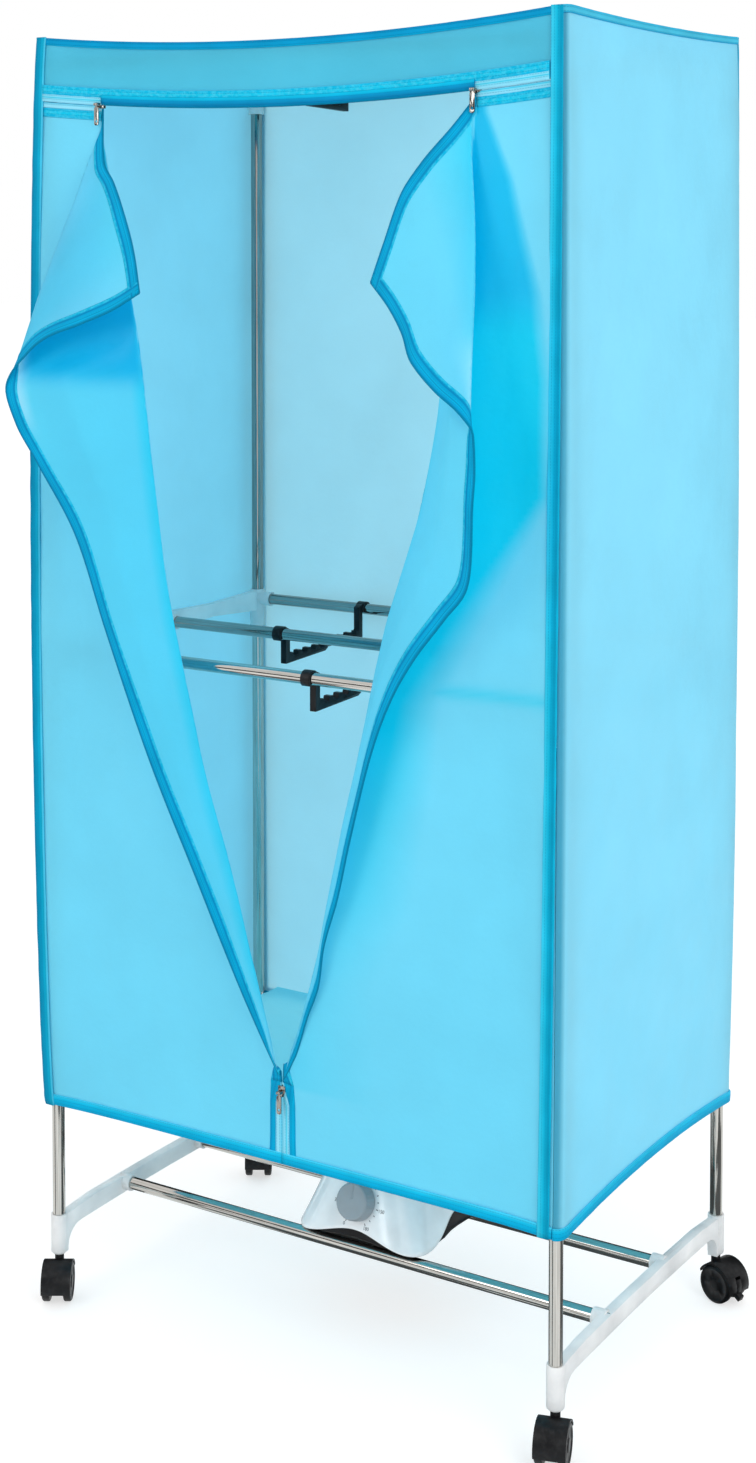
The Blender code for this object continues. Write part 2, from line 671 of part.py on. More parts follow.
def make_floor_panel(finish, stand):
    """The bottom cloth, with a round hole for the heater and its corners cut away round the posts."""
    edge_x, edge_y = COVER_X - SEAM_INSET, COVER_Y - SEAM_INSET
    notch = COVER_X - HALF_X + COVER_Y - HALF_Y + 2 * TUBE_RADIUS
    centre = Vector((HEATER_X, CROSS_TUBE_OFFSET))
    radius = heater_half(HEM_HEIGHT) + FLOOR_HOLE_MARGIN
    corners = [(edge_x, -edge_y + notch), (edge_x, edge_y - notch), (edge_x - notch, edge_y), (notch - edge_x, edge_y),
               (-edge_x, edge_y - notch), (-edge_x, notch - edge_y), (notch - edge_x, -edge_y), (edge_x - notch, -edge_y)]
    rim = []
    for start, end, parts in zip(corners, corners[1:] + corners[:1], (5, 1, 8, 1, 5, 1, 8, 1)):
        rim += [Vector(start).lerp(Vector(end), i / parts) for i in range(parts)]
    rings = []
    for share in shares(2):
        ring = []
        for point in rim:
            inner = centre + (point - centre).normalized() * radius
            spot = inner.lerp(point, share)
            bow = (abs(spot.x) / COVER_X) ** 4
            z = HEM_HEIGHT + FLOOR_LIFT + (hem_height(spot.y) - HEM_HEIGHT) * bow
            ring.append((spot.x, spot.y, z))
        rings.append(ring)
    thicken(add_object("cover_floor", loft(rings), finish, stand))


def eased(points, steps):
    """A smooth run through the points, a row of places, that never overshoots them."""
    points = np.asarray(points, float)
    change = np.diff(points, axis=0)
    before, after = change[:-1], change[1:]
    same = before * after > 0
    slope = np.zeros_like(points)
    slope[0], slope[-1] = change[0], change[-1]
    slope[1:-1][same] = (2 * before * after)[same] / (before + after)[same]
    run = []
    for i in range(len(change)):
        for j in range(steps):
            t = j / steps
            run.append(points[i] * (1 + 2 * t) * (1 - t) ** 2 + slope[i] * t * (1 - t) ** 2
                       + points[i + 1] * t * t * (3 - 2 * t) - slope[i + 1] * t * t * (1 - t))
    run.append(points[-1])
    return np.array(run)


def door_top(x):
    """The door's upper edge, under the header's zip."""
    return top_height(x, COVER_Y) - HEADER_DROP - ZIP_GAP


def flap_place(shares_of, side):
    """A place on the door, from its shares. The zip edges stay half the zip's gap off the middle."""
    across, forward, up = shares_of
    x = max(across * COVER_X, ZIP_GAP / 2)
    return (side * x, -COVER_Y - forward * FLAP_REACH, HEM_HEIGHT + up * DOOR_HEIGHT)


def make_door(name, side, open_part, finish, stand):
    """Half of the door: sewn along its side and beside the slider, folded out, and zipped below."""
    flat_part = tuple((1 - up, *((across, 0, up) for across in FLAT_PLACES_SHARES)) for up in (ZIPPED_SHARE, 0))
    table = open_part + flat_part
    seam = [(side * FRONT_X, -COVER_Y, DOOR_TOP - DOOR_HEIGHT * row[0]) for row in table]
    beside, fold, edge = ([flap_place(row[i], side) for row in table] for i in (1, 2, 3))
    lines = []
    for i in range(len(table)):
        turned_back = (np.array(fold[i]) + np.array(edge[i])) / 2
        if i < len(open_part):
            turned_back[1] -= FLAP_BULGE_SHARE * math.dist(fold[i], edge[i])
        lines.append([seam[i], beside[i], fold[i], turned_back, edge[i]])
    lines = np.array(lines)
    down = [eased(lines[:, i], 2) for i in range(lines.shape[1])]
    rows = [eased([column[i] for column in down], 3) for i in range(len(down[0]))]
    for i in range(3):
        for place in rows[i][:4]:
            place[2] = door_top(place[0]) - i * SLIDER_WIDTH / 2
    sheet(name, rows, finish, stand)


def make_cover(finish, stand):
    make_top_panel(finish, stand)
    make_back_panel(finish, stand)
    make_side_panel("cover_side_left", -1, finish, stand)
    make_side_panel("cover_side_right", 1, finish, stand)
    make_floor_panel(finish, stand)
    make_door("cover_door_left", -1, LEFT_FLAP_SHARES, finish, stand)
    make_door("cover_door_right", 1, RIGHT_FLAP_SHARES, finish, stand)


# Zip sliders


def slider_outline():
    """A shield: square shoulders at one end and a blunt point at the other, in (y, z)."""
    half, long = SLIDER_WIDTH / 2, SLIDER_LENGTH / 2
    return [(-half, long), (-half, 0), (-half / 2, -long), (half / 2, -long), (half, 0), (half, long)]


def make_slider(name, place, along_zip, mats, stand):
    """Two plates, before and behind the cloth, joined by a neck in the zip, with a bail for the pull."""
    seat = CLOTH / 2 + SLIDER_GAP
    frame = add_empty(name + "_frame", stand, place)
    lie = (0, 0, math.pi / 2)
    lean = Matrix.Rotation(along_zip, 4, "X")
    front = placed(plate(slider_outline(), -seat - SLIDER_PLATE, -seat), lean)
    slider = add_object(name, front, mats["zinc"], frame, rotation=lie)
    join(slider, name + "_back", placed(plate(slider_outline(), seat, seat + SLIDER_PLATE), lean))
    neck = box((-seat - OVERRUN, -SLIDER_NECK / 2, 0), (seat + OVERRUN, SLIDER_NECK / 2, SLIDER_LENGTH / 4))
    join(slider, name + "_neck", placed(neck, lean))
    join(slider, name + "_bail", slider_bail(seat + SLIDER_PLATE))
    make_pull(name.replace("slider", "pull"), seat + SLIDER_PLATE + BAIL_REACH, mats["zinc"], frame)


def slider_bail(face):
    """Two cheeks on the front plate and the bar between them, which the pull turns on."""
    reach = face + BAIL_REACH + KNUCKLE_RADIUS
    root = face - SLIDER_PLATE / 2
    inner = BAIL_WIDTH / 2
    cheeks = [box((-reach, side * inner - (CHEEK if side < 0 else 0), -CHEEK * 1.5),
                  (-root, side * inner + (CHEEK if side > 0 else 0), CHEEK * 1.5)) for side in (-1, 1)]
    bar = cylinder(BAIL_RADIUS, -inner - CHEEK / 2, inner + CHEEK / 2, 10)
    bar = placed(bar, Matrix.Translation((-face - BAIL_REACH, 0, 0)) @ Matrix.Rotation(math.pi / 2, 4, "X"))
    whole = add_object("bail_tool", gather(*cheeks), None, None)
    join(whole, "bail_bar", bar)
    return evaluated(whole)


def evaluated(item):
    """The item's finished shape as a mesh of its own; the item itself goes."""
    bpy.context.view_layer.update()
    mesh = bpy.data.meshes.new_from_object(item.evaluated_get(bpy.context.evaluated_depsgraph_get()))
    for child in list(item.children):
        bpy.data.objects.remove(child, do_unlink=True)
    bpy.data.objects.remove(item, do_unlink=True)
    bm = bmesh.new()
    bm.from_mesh(mesh)
    bpy.data.meshes.remove(mesh)
    return bm


def make_pull(name, reach, finish, frame):
    """A flat tab that hangs from a knuckle round the bail's bar."""
    hold = BAIL_WIDTH / 2 - CLEARANCE
    bore = BAIL_RADIUS + CLEARANCE
    half, neck = PULL_WIDTH / 2, hold
    pull = add_object(name, pipe(KNUCKLE_RADIUS, bore, -hold, hold, 12, "X"), finish, frame, (0, -reach, 0))
    shoulder = -KNUCKLE_RADIUS - CHEEK
    tail = -PULL_LENGTH
    outline = [(neck, -bore - BAIL_RADIUS), (-neck, -bore - BAIL_RADIUS), (-neck, shoulder), (-half, shoulder - CHEEK),
               (-half, tail + half / 2), (-half / 2, tail), (half / 2, tail), (half, tail + half / 2),
               (half, shoulder - CHEEK), (neck, shoulder)]
    tab = plate(outline, -PULL_THICKNESS / 2, PULL_THICKNESS / 2)
    join(pull, name + "_tab", tab, rotation=(0, 0, math.pi / 2))
    eye = cylinder(half / 2, -PULL_THICKNESS, PULL_THICKNESS, 12, "X")
    cut(pull, name + "_eye", eye, (0, 0, tail + half * 1.6), (0, 0, math.pi / 2))


def make_sliders(mats, stand):
    for name, side, table in (("left", -1, LEFT_FLAP_SHARES), ("right", 1, RIGHT_FLAP_SHARES)):
        open_to = flap_place(table[0][1], side)[0]
        x = open_to + side * SLIDER_LENGTH / 2
        place = (x, -COVER_Y, door_top(x) + ZIP_GAP / 2)
        make_slider("zip_slider_" + name, place, -side * math.pi / 2, mats, stand)
    low = HEM_HEIGHT + ZIPPED_SHARE * DOOR_HEIGHT - SLIDER_LENGTH / 2
    make_slider("zip_slider_lower", (0, -COVER_Y, low), 0, mats, stand)


# Heater


def heater_rise(height):
    """How far down the shell a height lies: 0 at its top and 1 at its lowest edge."""
    return max(0, (HEATER_TOP - height) / (HEATER_TOP - HEATER_LOW))


def heater_half(height):
    return HEATER_HALF_TOP + (HEATER_HALF_LOW - HEATER_HALF_TOP) * heater_rise(height) ** HEATER_FLARE_POWER


def heater_slope(height):
    """The front face's lean from the upright, in radians."""
    spread = (HEATER_HALF_LOW - HEATER_HALF_TOP) / (HEATER_TOP - HEATER_LOW)
    return math.atan(spread * HEATER_FLARE_POWER * heater_rise(height) ** (HEATER_FLARE_POWER - 1))


def squircle(half, squareness, heights):
    """A ring of points between a circle, at squareness 0, and a rounded square, at 1."""
    power = 2 + 2 * squareness
    ring = []
    for i, z in enumerate(heights):
        a = math.tau * i / len(heights)
        reach = half[i] / (abs(math.cos(a)) ** power + abs(math.sin(a)) ** power) ** (1 / power)
        ring.append((reach * math.cos(a), reach * math.sin(a), z))
    return ring


def heater_edge(lift=0.0):
    """The wavy lower edge: low at the corners, arched over the front, the back and the sides."""
    heights = []
    for i in range(HEATER_SIDES):
        a = math.tau * i / HEATER_SIDES
        arch = HEATER_SIDE_ARCH * math.cos(a) ** 2 + HEATER_FRONT_ARCH * math.sin(a) ** 2
        heights.append(HEATER_LOW + lift + arch * math.cos(2 * a) ** 2)
    return heights


def shell_ring(share_up, inset, lift=0.0):
    """One ring of the shell's skin, a share of the way from its edge to its top and inset from its face."""
    heights = [low + (HEATER_TOP - low) * share_up for low in heater_edge(lift)]
    half = [heater_half(z) - inset for z in heights]
    return squircle(half, (1 - share_up) ** 1.5, heights)


def make_shell(mats, heater):
    ups = (0, 0.15, 0.35, 0.6, 1)
    rings = [shell_ring(up, 0) for up in ups] + [shell_ring(up, HEATER_WALL) for up in reversed(ups)]
    shell = add_object("heater_shell", loft(rings, joined=True), mats["shell"], heater)
    tilt = heater_slope(KNOB_HEIGHT)
    hole = cylinder(KNOB_SHAFT_RADIUS + CLEARANCE, -3 * HEATER_WALL, 3 * HEATER_WALL, 12)
    cut(shell, "shaft_hole", hole, knob_place(), (math.pi / 2 - tilt, 0, 0))


def knob_place():
    return (0, -heater_half(KNOB_HEIGHT), KNOB_HEIGHT)


def make_base(mats, heater):
    """A dish that fills the shell's arches, with intake slots, and four saddles that straddle the cross tubes."""
    inset = HEATER_WALL + CLEARANCE * 2
    floor_low = HEATER_LOW - CLEARANCE
    dip = [floor_low + BASE_WALL + (z - HEATER_LOW) * 0.4 for z in heater_edge()]
    brim = heater_edge(BASE_OVERLAP)
    brim_half = [heater_half(z) - inset for z in brim]
    floor_half = [BASE_HALF_FLOOR] * HEATER_SIDES
    rings = [
        squircle(floor_half, 1, [floor_low] * HEATER_SIDES),
        squircle([half - inset for half in map(heater_half, dip)], 1, dip),
        squircle(brim_half, BASE_BRIM_SQUARENESS_SHARE, brim),
        squircle([half - BASE_WALL for half in brim_half], BASE_BRIM_SQUARENESS_SHARE, brim),
        squircle([half - BASE_WALL for half in floor_half], 1, [floor_low + BASE_FLOOR] * HEATER_SIDES),
    ]
    base = add_object("heater_base", loft(rings, capped=True), mats["black"], heater)
    join(base, "saddles", saddles(floor_low))
    cut(base, "saddle_grooves", saddle_grooves())
    cut(base, "intake_slots", intake_slots(floor_low))
    spot = (0, INTAKE_RADIUS, floor_low)
    join(base, "cord_gland", cylinder(GLAND_RADIUS, -GLAND_REACH, 2 * BASE_WALL), spot)
    cut(base, "gland_hole", cylinder(GLAND_RADIUS / 2, -2 * GLAND_REACH, 2 * GLAND_REACH), spot)


def saddles(floor_low):
    blocks = []
    half_y = TUBE_RADIUS + CLEARANCE + SADDLE_WALL
    for x in (-SADDLE_SPACING / 2, SADDLE_SPACING / 2):
        for y in (-CROSS_TUBE_SPACING / 2, CROSS_TUBE_SPACING / 2):
            blocks.append(box((x - SADDLE_WIDTH / 2, y - half_y, CROSS_TUBE_HEIGHT),
                              (x + SADDLE_WIDTH / 2, y + half_y, floor_low + BASE_FLOOR / 2)))
    return gather(*blocks)


def saddle_grooves():
    tools = []
    for y in (-CROSS_TUBE_SPACING / 2, CROSS_TUBE_SPACING / 2):
        groove = cylinder(TUBE_RADIUS + CLEARANCE, -HEATER_HALF_LOW, HEATER_HALF_LOW, 24, "X")
        tools.append(placed(groove, Matrix.Translation((0, y, CROSS_TUBE_HEIGHT))))
    return gather(*tools)


def intake_slots(floor_low):
    tools = []
    for i in range(8):
        slot = box((INTAKE_RADIUS - INTAKE_LENGTH / 2, -INTAKE_WIDTH / 2, floor_low - OVERRUN),
                   (INTAKE_RADIUS + INTAKE_LENGTH / 2, INTAKE_WIDTH / 2, floor_low + BASE_FLOOR + OVERRUN))
        tools.append(placed(slot, Matrix.Rotation(math.tau * (i + 0.5) / 8, 4, "Z")))
    return gather(*tools)


def motor_seat():
    return HEATER_LOW - CLEARANCE + BASE_FLOOR + CLEARANCE


def make_motor(mats, heater):
    top = MOTOR_HEIGHT
    edge = BASE_WALL
    profile = [(0, 0), (MOTOR_RADIUS, 0), (MOTOR_RADIUS, top - edge), (MOTOR_RADIUS - edge, top),
               (SHAFT_RADIUS, top), (SHAFT_RADIUS, top + SHAFT_REACH), (0, top + SHAFT_REACH)]
    add_object("heater_motor", turned(profile), mats["copper"], heater, (0, 0, motor_seat()))


def make_fan(mats, heater):
    """An axial fan: a capped hub on the motor's shaft with pitched blades."""
    place = (0, 0, motor_seat() + MOTOR_HEIGHT + FAN_LIFT)
    hub = pipe(FAN_HUB_RADIUS, SHAFT_RADIUS + CLEARANCE, 0, FAN_HEIGHT)
    fan = add_object("heater_fan", hub, mats["black"], heater, place)
    blades = []
    for i in range(7):
        blade = box((FAN_HUB_RADIUS - BASE_WALL, -FAN_HEIGHT * 0.55, -BLADE_THICKNESS / 2),
                    (FAN_RADIUS, FAN_HEIGHT * 0.55, BLADE_THICKNESS / 2))
        pitch = Matrix.Rotation(math.radians(35), 4, "X")
        blades.append(placed(blade, Matrix.Rotation(math.tau * i / 7, 4, "Z") @ Matrix.Translation(
            (0, 0, FAN_HEIGHT / 2)) @ pitch))
    join(fan, "blades", gather(*blades))


def make_element(mats, heater):
    """A finned heating block in a flange that fills the shell."""
    low = [ELEMENT_HEIGHT] * HEATER_SIDES
    rise = (ELEMENT_HEIGHT - HEATER_LOW) / (HEATER_TOP - HEATER_LOW)
    half = [heater_half(ELEMENT_HEIGHT + ELEMENT_FLANGE) - HEATER_WALL - 4 * CLEARANCE] * HEATER_SIDES
    high = [ELEMENT_HEIGHT + ELEMENT_FLANGE] * HEATER_SIDES
    square = (1 - rise) ** 1.5
    rings = [squircle(half, square, low), squircle(half, square, high)]
    element = add_object("heater_element", loft(rings, capped=True), mats["ceramic"], heater)
    size = ELEMENT_HALF
    join(element, "element_block", box((-size, -size, ELEMENT_HEIGHT - ELEMENT_DEPTH / 2),
                                       (size, size, ELEMENT_HEIGHT + ELEMENT_DEPTH / 2)))
    count = int(2 * size / FIN_PITCH) - 1
    slots = []
    for i in range(count):
        x = FIN_PITCH * (i - (count - 1) / 2)
        slots.append(box((x - FIN_SLOT / 2, -size * 0.88, ELEMENT_HEIGHT - ELEMENT_DEPTH),
                         (x + FIN_SLOT / 2, size * 0.88, ELEMENT_HEIGHT + ELEMENT_DEPTH)))
    cut(element, "fin_slots", gather(*slots))


def make_grille(mats, heater):
    """The outlet grille: two rings, a hub and spokes, in the shell's round mouth."""
    high = HEATER_TOP - GRILLE_DROP
    low = high - GRILLE_THICKNESS
    outer = heater_half(high) - HEATER_WALL - CLEARANCE * 2
    grille = add_object("heater_grille", pipe(outer, outer - GRILLE_RING, low, high, 24), mats["black"], heater)
    middle = (outer + GRILLE_HUB) / 2
    inset = GRILLE_THICKNESS / 6
    spokes = []
    for i in range(3):
        bar = box((-outer + GRILLE_RING / 2, -GRILLE_BAR / 2, low + inset),
                  (outer - GRILLE_RING / 2, GRILLE_BAR / 2, high - inset))
        spokes.append(placed(bar, Matrix.Rotation(math.pi * (i + 0.5) / 3, 4, "Z")))
    for i, spoke in enumerate(spokes):
        join(grille, f"spoke_{i}", spoke)
    join(grille, "hub", cylinder(GRILLE_HUB, low, high))
    ring = pipe(middle + GRILLE_BAR / 2, middle - GRILLE_BAR / 2, low + inset / 2, high - inset / 2)
    join(grille, "middle_ring", ring)


def make_timer(mats, heater):
    """A clockwork timer behind the sloped front, and its knob outside on the same shaft."""
    frame = add_empty("timer_axis", heater, knob_place(), (math.pi / 2 - heater_slope(KNOB_HEIGHT), 0, 0))
    half = TIMER_SIZE / 2
    face = -HEATER_WALL - TIMER_SEAT
    timer = add_object("heater_timer", box((-half, -half, face - TIMER_DEPTH), (half, half, face)),
                       mats["white"], frame)
    bore = cylinder(KNOB_SHAFT_RADIUS + CLEARANCE, KNOB_STANDOFF - KNOB_SHAFT_LENGTH - CLEARANCE, 0, 12)
    cut(timer, "timer_bore", bore)
    low, high = KNOB_STANDOFF, KNOB_STANDOFF + KNOB_DEPTH
    profile = [(0, low - KNOB_SHAFT_LENGTH), (KNOB_SHAFT_RADIUS, low - KNOB_SHAFT_LENGTH), (KNOB_SHAFT_RADIUS, low),
               (KNOB_RADIUS, low), (KNOB_RADIUS, low + 2 * KNOB_EDGE), (KNOB_RADIUS - KNOB_EDGE, high - KNOB_EDGE),
               (KNOB_RADIUS - 2 * KNOB_EDGE, high), (KNOB_RADIUS - 3 * KNOB_EDGE, high - KNOB_DISH), (0, high - KNOB_DISH)]
    knob = add_object("timer_knob", turned(profile, 24), mats["grey"], frame)
    pointer = box((-KNOB_EDGE / 2, KNOB_RADIUS - 5 * KNOB_EDGE, high - 2 * KNOB_DISH),
                  (KNOB_EDGE / 2, KNOB_RADIUS + OVERRUN, high + OVERRUN))
    cut(knob, "pointer", pointer)


def make_heater(mats, stand):
    heater = add_empty("heater", stand, (HEATER_X, CROSS_TUBE_OFFSET, 0))
    make_shell(mats, heater)
    make_base(mats, heater)
    make_motor(mats, heater)
    make_fan(mats, heater)
    make_element(mats, heater)
    make_grille(mats, heater)
    make_timer(mats, heater)


# Castors. Each is modelled trailing towards -Y from its stem, with its axle along X.


def hood_outline():
    """The hood's side: round over the wheels, cut level below and open in front, under the stem."""
    axle = (-CASTOR_TRAIL, AXLE_HEIGHT)
    low = AXLE_HEIGHT - HOOD_RADIUS * math.sin(math.radians(38))
    round_part = arc(axle, HOOD_RADIUS, 30, 218, 16)
    return round_part + [(-CASTOR_TRAIL / 3, low), (NECK_RADIUS, AXLE_HEIGHT)]


def make_hood(name, braked, finish, castor):
    hood = add_object(name, plate(hood_outline(), -HOOD_WIDTH / 2, HOOD_WIDTH / 2), finish, castor)
    axle = (0, -CASTOR_TRAIL, AXLE_HEIGHT)
    join(hood, name + "_neck", cylinder(NECK_RADIUS, AXLE_HEIGHT, CASTOR_HEIGHT - CLEARANCE))
    pocket = WHEEL_RADIUS + HOOD_RIM_GAP
    sides = [cylinder(pocket, *sorted((side * WEB_WIDTH / 2, side * HOOD_WIDTH)), 24, "X") for side in (-1, 1)]
    cut(hood, name + "_pockets", gather(*sides), axle)
    cut(hood, name + "_axle_hole", cylinder(AXLE_RADIUS + CLEARANCE, -HOOD_WIDTH, HOOD_WIDTH, 12, "X"), axle)
    cut(hood, name + "_stem_bore", cylinder(STEM_RADIUS + CLEARANCE, STEM_SEAT - CLEARANCE, CASTOR_HEIGHT, 12))
    if braked:
        cut(hood, name + "_lever_slot", lever_slot(), axle)
        hole = cylinder(LEVER_PIN_RADIUS + CLEARANCE, -lever_pin_half() - CLEARANCE, lever_pin_half() + CLEARANCE, 10, "X")
        cut(hood, name + "_pin_hole", hole, (0, *lever_pivot()))


def sector(inner, outer, start, end, steps=6):
    return arc((0, 0), outer, start, end, steps) + arc((0, 0), inner, end, start, steps)


def lever_slot():
    """The gap in the hood's web that the lever lies in, deeper than the lever so that it can be pressed."""
    half = LEVER_WIDTH / 2 + CLEARANCE
    inner = HOOD_RADIUS - LEVER_DEPTH - LEVER_SWING_ROOM
    return plate(sector(inner, HOOD_RADIUS + LEVER_TOE, 150, 224), -half, half)


def lever_pivot():
    """The lever's pin, in (y, z) of the castor."""
    a = math.radians(166)
    reach = HOOD_RADIUS - LEVER_DEPTH / 2
    return (-CASTOR_TRAIL + reach * math.cos(a), AXLE_HEIGHT + reach * math.sin(a))


def lever_pin_half():
    return LEVER_WIDTH / 2 + LEVER_PIN_REACH


def make_lever(name, finish, castor):
    """A curved pedal with a toe below, hung on a pin across the hood's web."""
    pivot = lever_pivot()
    frame = add_empty(name + "_axis", castor, (0, *pivot))
    half = LEVER_WIDTH / 2
    inner = HOOD_RADIUS - LEVER_DEPTH
    outline = arc((0, 0), HOOD_RADIUS, 158, 196, 6)
    outline += arc((0, 0), HOOD_RADIUS + LEVER_TOE, 198, 210, 2)
    outline += arc((0, 0), inner, 208, 158, 6)
    shift = Matrix.Translation((0, -CASTOR_TRAIL - pivot[0], AXLE_HEIGHT - pivot[1]))
    lever = add_object(name, placed(plate(outline, -half, half), shift), finish, frame)
    join(lever, name + "_pin", cylinder(LEVER_PIN_RADIUS, -lever_pin_half(), lever_pin_half(), 10, "X"))


def make_wheels(name, finish, castor):
    """Both wheels and their axle, turned in one piece: a dished disc at each end. They stand on a facet."""
    inner = WEB_WIDTH / 2 + CLEARANCE
    outer = inner + WHEEL_WIDTH
    rim = WHEEL_RADIUS - WHEEL_RIM
    edge = WHEEL_RADIUS - TREAD_EDGE
    half = [(AXLE_RADIUS, inner), (WHEEL_RADIUS, inner), (WHEEL_RADIUS, outer - TREAD_EDGE), (edge, outer),
            (rim, outer), (rim - WHEEL_DISH, outer - WHEEL_DISH), (0, outer - WHEEL_DISH)]
    profile = [(r, -z) for r, z in reversed(half)] + half
    wheels = turned(profile, WHEEL_SIDES, axis="X")
    flat_down = Matrix.Rotation(math.pi / WHEEL_SIDES, 4, "X")
    add_object(name, placed(wheels, flat_down), finish, castor, (0, -CASTOR_TRAIL, AXLE_HEIGHT))


def make_castors(mats, stand):
    for name, heading in CASTOR_HEADINGS.items():
        row, side = name.split("_")
        x = HALF_X if side == "right" else -HALF_X
        y = HALF_Y if row == "back" else -HALF_Y
        stem = cylinder(STEM_RADIUS, STEM_SEAT, CASTOR_HEIGHT + STEM_REACH, 12)
        add_object("castor_stem_" + name, stem, mats["steel"], stand, (x, y, 0))
        castor = add_empty("castor_" + name, stand, (x, y, 0), (0, 0, math.radians(heading + 90)))
        make_hood("castor_hood_" + name, name == BRAKED_CASTOR, mats["black"], castor)
        make_wheels("castor_wheels_" + name, mats["black"], castor)
        if name == BRAKED_CASTOR:
            make_lever("castor_brake_" + name, mats["black"], castor)


def main():
    clear_scene()
    mats = make_materials()
    stand = add_empty("stand", None, (STAND_X, STAND_Y, 0))
    make_leg("leg_left", -1, mats["white"], stand)
    make_leg("leg_right", 1, mats["white"], stand)
    make_cross_tube("cross_tube_front", FRONT_TUBE_Y, mats["steel"], stand)
    make_cross_tube("cross_tube_back", BACK_TUBE_Y, mats["steel"], stand)
    make_posts(mats["steel"], stand)
    make_tiers(mats, stand)
    for name, (row, tier, share, way) in HOOKS.items():
        make_hook(name, row, tier, share, way, mats["black"], stand)
    make_cover(mats["cloth"], stand)
    make_sliders(mats, stand)
    make_heater(mats, stand)
    make_castors(mats, stand)


main()
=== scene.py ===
"""Looks of the portable clothes dryer: a blue cloth cabin with a T-shaped zip on a tube stand, over a fan heater.

Metres, +Z up. Shapes are written round the stand's own middle and set down at its place in the frame."""

import json
import math
from contextlib import contextmanager

import bmesh
import bpy
import numpy as np
from mathutils import Matrix, Vector, noise

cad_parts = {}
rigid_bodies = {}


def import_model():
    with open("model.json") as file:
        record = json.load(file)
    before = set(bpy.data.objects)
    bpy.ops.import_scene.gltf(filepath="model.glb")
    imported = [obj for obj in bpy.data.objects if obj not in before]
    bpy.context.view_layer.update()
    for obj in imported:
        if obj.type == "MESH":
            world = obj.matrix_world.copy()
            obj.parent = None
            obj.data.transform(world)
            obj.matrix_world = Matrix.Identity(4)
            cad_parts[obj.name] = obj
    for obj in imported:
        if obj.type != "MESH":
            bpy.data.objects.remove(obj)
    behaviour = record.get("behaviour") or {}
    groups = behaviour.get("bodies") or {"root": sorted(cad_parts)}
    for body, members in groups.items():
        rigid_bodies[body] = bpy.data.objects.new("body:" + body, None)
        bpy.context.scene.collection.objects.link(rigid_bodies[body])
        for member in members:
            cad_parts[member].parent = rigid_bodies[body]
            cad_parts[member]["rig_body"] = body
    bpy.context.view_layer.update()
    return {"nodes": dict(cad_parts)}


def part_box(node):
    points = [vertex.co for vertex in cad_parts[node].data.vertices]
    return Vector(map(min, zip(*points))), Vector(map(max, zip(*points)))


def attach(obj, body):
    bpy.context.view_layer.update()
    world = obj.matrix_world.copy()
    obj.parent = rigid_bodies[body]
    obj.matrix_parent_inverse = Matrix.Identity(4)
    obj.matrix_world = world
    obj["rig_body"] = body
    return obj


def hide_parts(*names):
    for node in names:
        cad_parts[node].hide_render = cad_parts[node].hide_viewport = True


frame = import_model()

# Sizes of the frame that the looks follow
STAND = np.array([-0.0120, 0.0430, 0.0])
HALF_X, HALF_Y = 0.334, 0.208
COVER_X, COVER_Y, COVER_ROUND = 0.3465, 0.2205, 0.010
FRONT_X = 0.3359
STAND_HEIGHT, HEM_HEIGHT, HEM_BOW = 1.500, 0.2375, 0.013
SAG_FRONT, SAG_SIDE = 0.0186, 0.004
HEADER_DROP, ZIP_GAP = 0.0705, 0.003
DOOR_TOP = STAND_HEIGHT - HEADER_DROP - ZIP_GAP
DOOR_HEIGHT = DOOR_TOP - HEM_HEIGHT
SWELL, FLAP_REACH, FLAP_BULGE = 0.004, 0.090, 0.12
TUBE, ROD, TUBE_WALL = 0.0075, 0.0070, 0.0006
HEATER = np.array([0.017, -0.012])
HEATER_LOW, HEATER_TOP, HEATER_HALF_LOW, HEATER_HALF_TOP = 0.107, 0.250, 0.095, 0.058
HEATER_WALL, KNOB_HEIGHT = 0.0025, 0.153
COVER_HEIGHT = STAND_HEIGHT - HEM_HEIGHT
CASTOR_HEADINGS = {"front_left": 302, "front_right": 287, "back_left": 302, "back_right": 343}
EYE = np.array([1.3572, -2.1909, 1.2657])

# Cloth work
CLOSED_FROM = 0.923
BIND_WIDTH, HEM_WIDTH, TOP_WIDTH = 0.0130, 0.0125, 0.0080
TAPE_WIDTH, LIP_WIDTH, SEAM_WIDTH = 0.0150, 0.0065, 0.0105
TEETH = 0.0013
TAPE_THICK, EDGE_THICK, HEM_THICK, BINDING_THICK = 0.0016, 0.0018, 0.0020, 0.0022
PROUD, TOP_PROUD, HEADER_PROUD = 0.0020, 0.0012, 0.0022
HEM_LIFT = 0.0038
TRANSLUCENT, CLEAR, WEAVE = 0.38, 0.025, 0.30

# Small corrections to frame pieces
HOOD_CLEARANCE = 0.0150
SADDLE_BAND, SADDLE_DROP, SADDLE_FRONT = (0.1045, 0.1085), 0.0030, -0.0440


# Finishes


def srgb(r, g, b):
    """A colour as the eye's 0 to 255, turned into the light that Blender mixes."""
    def lit(v):
        v /= 255
        return v / 12.92 if v <= 0.04045 else ((v + 0.055) / 1.055) ** 2.4
    return (lit(r), lit(g), lit(b), 1.0)


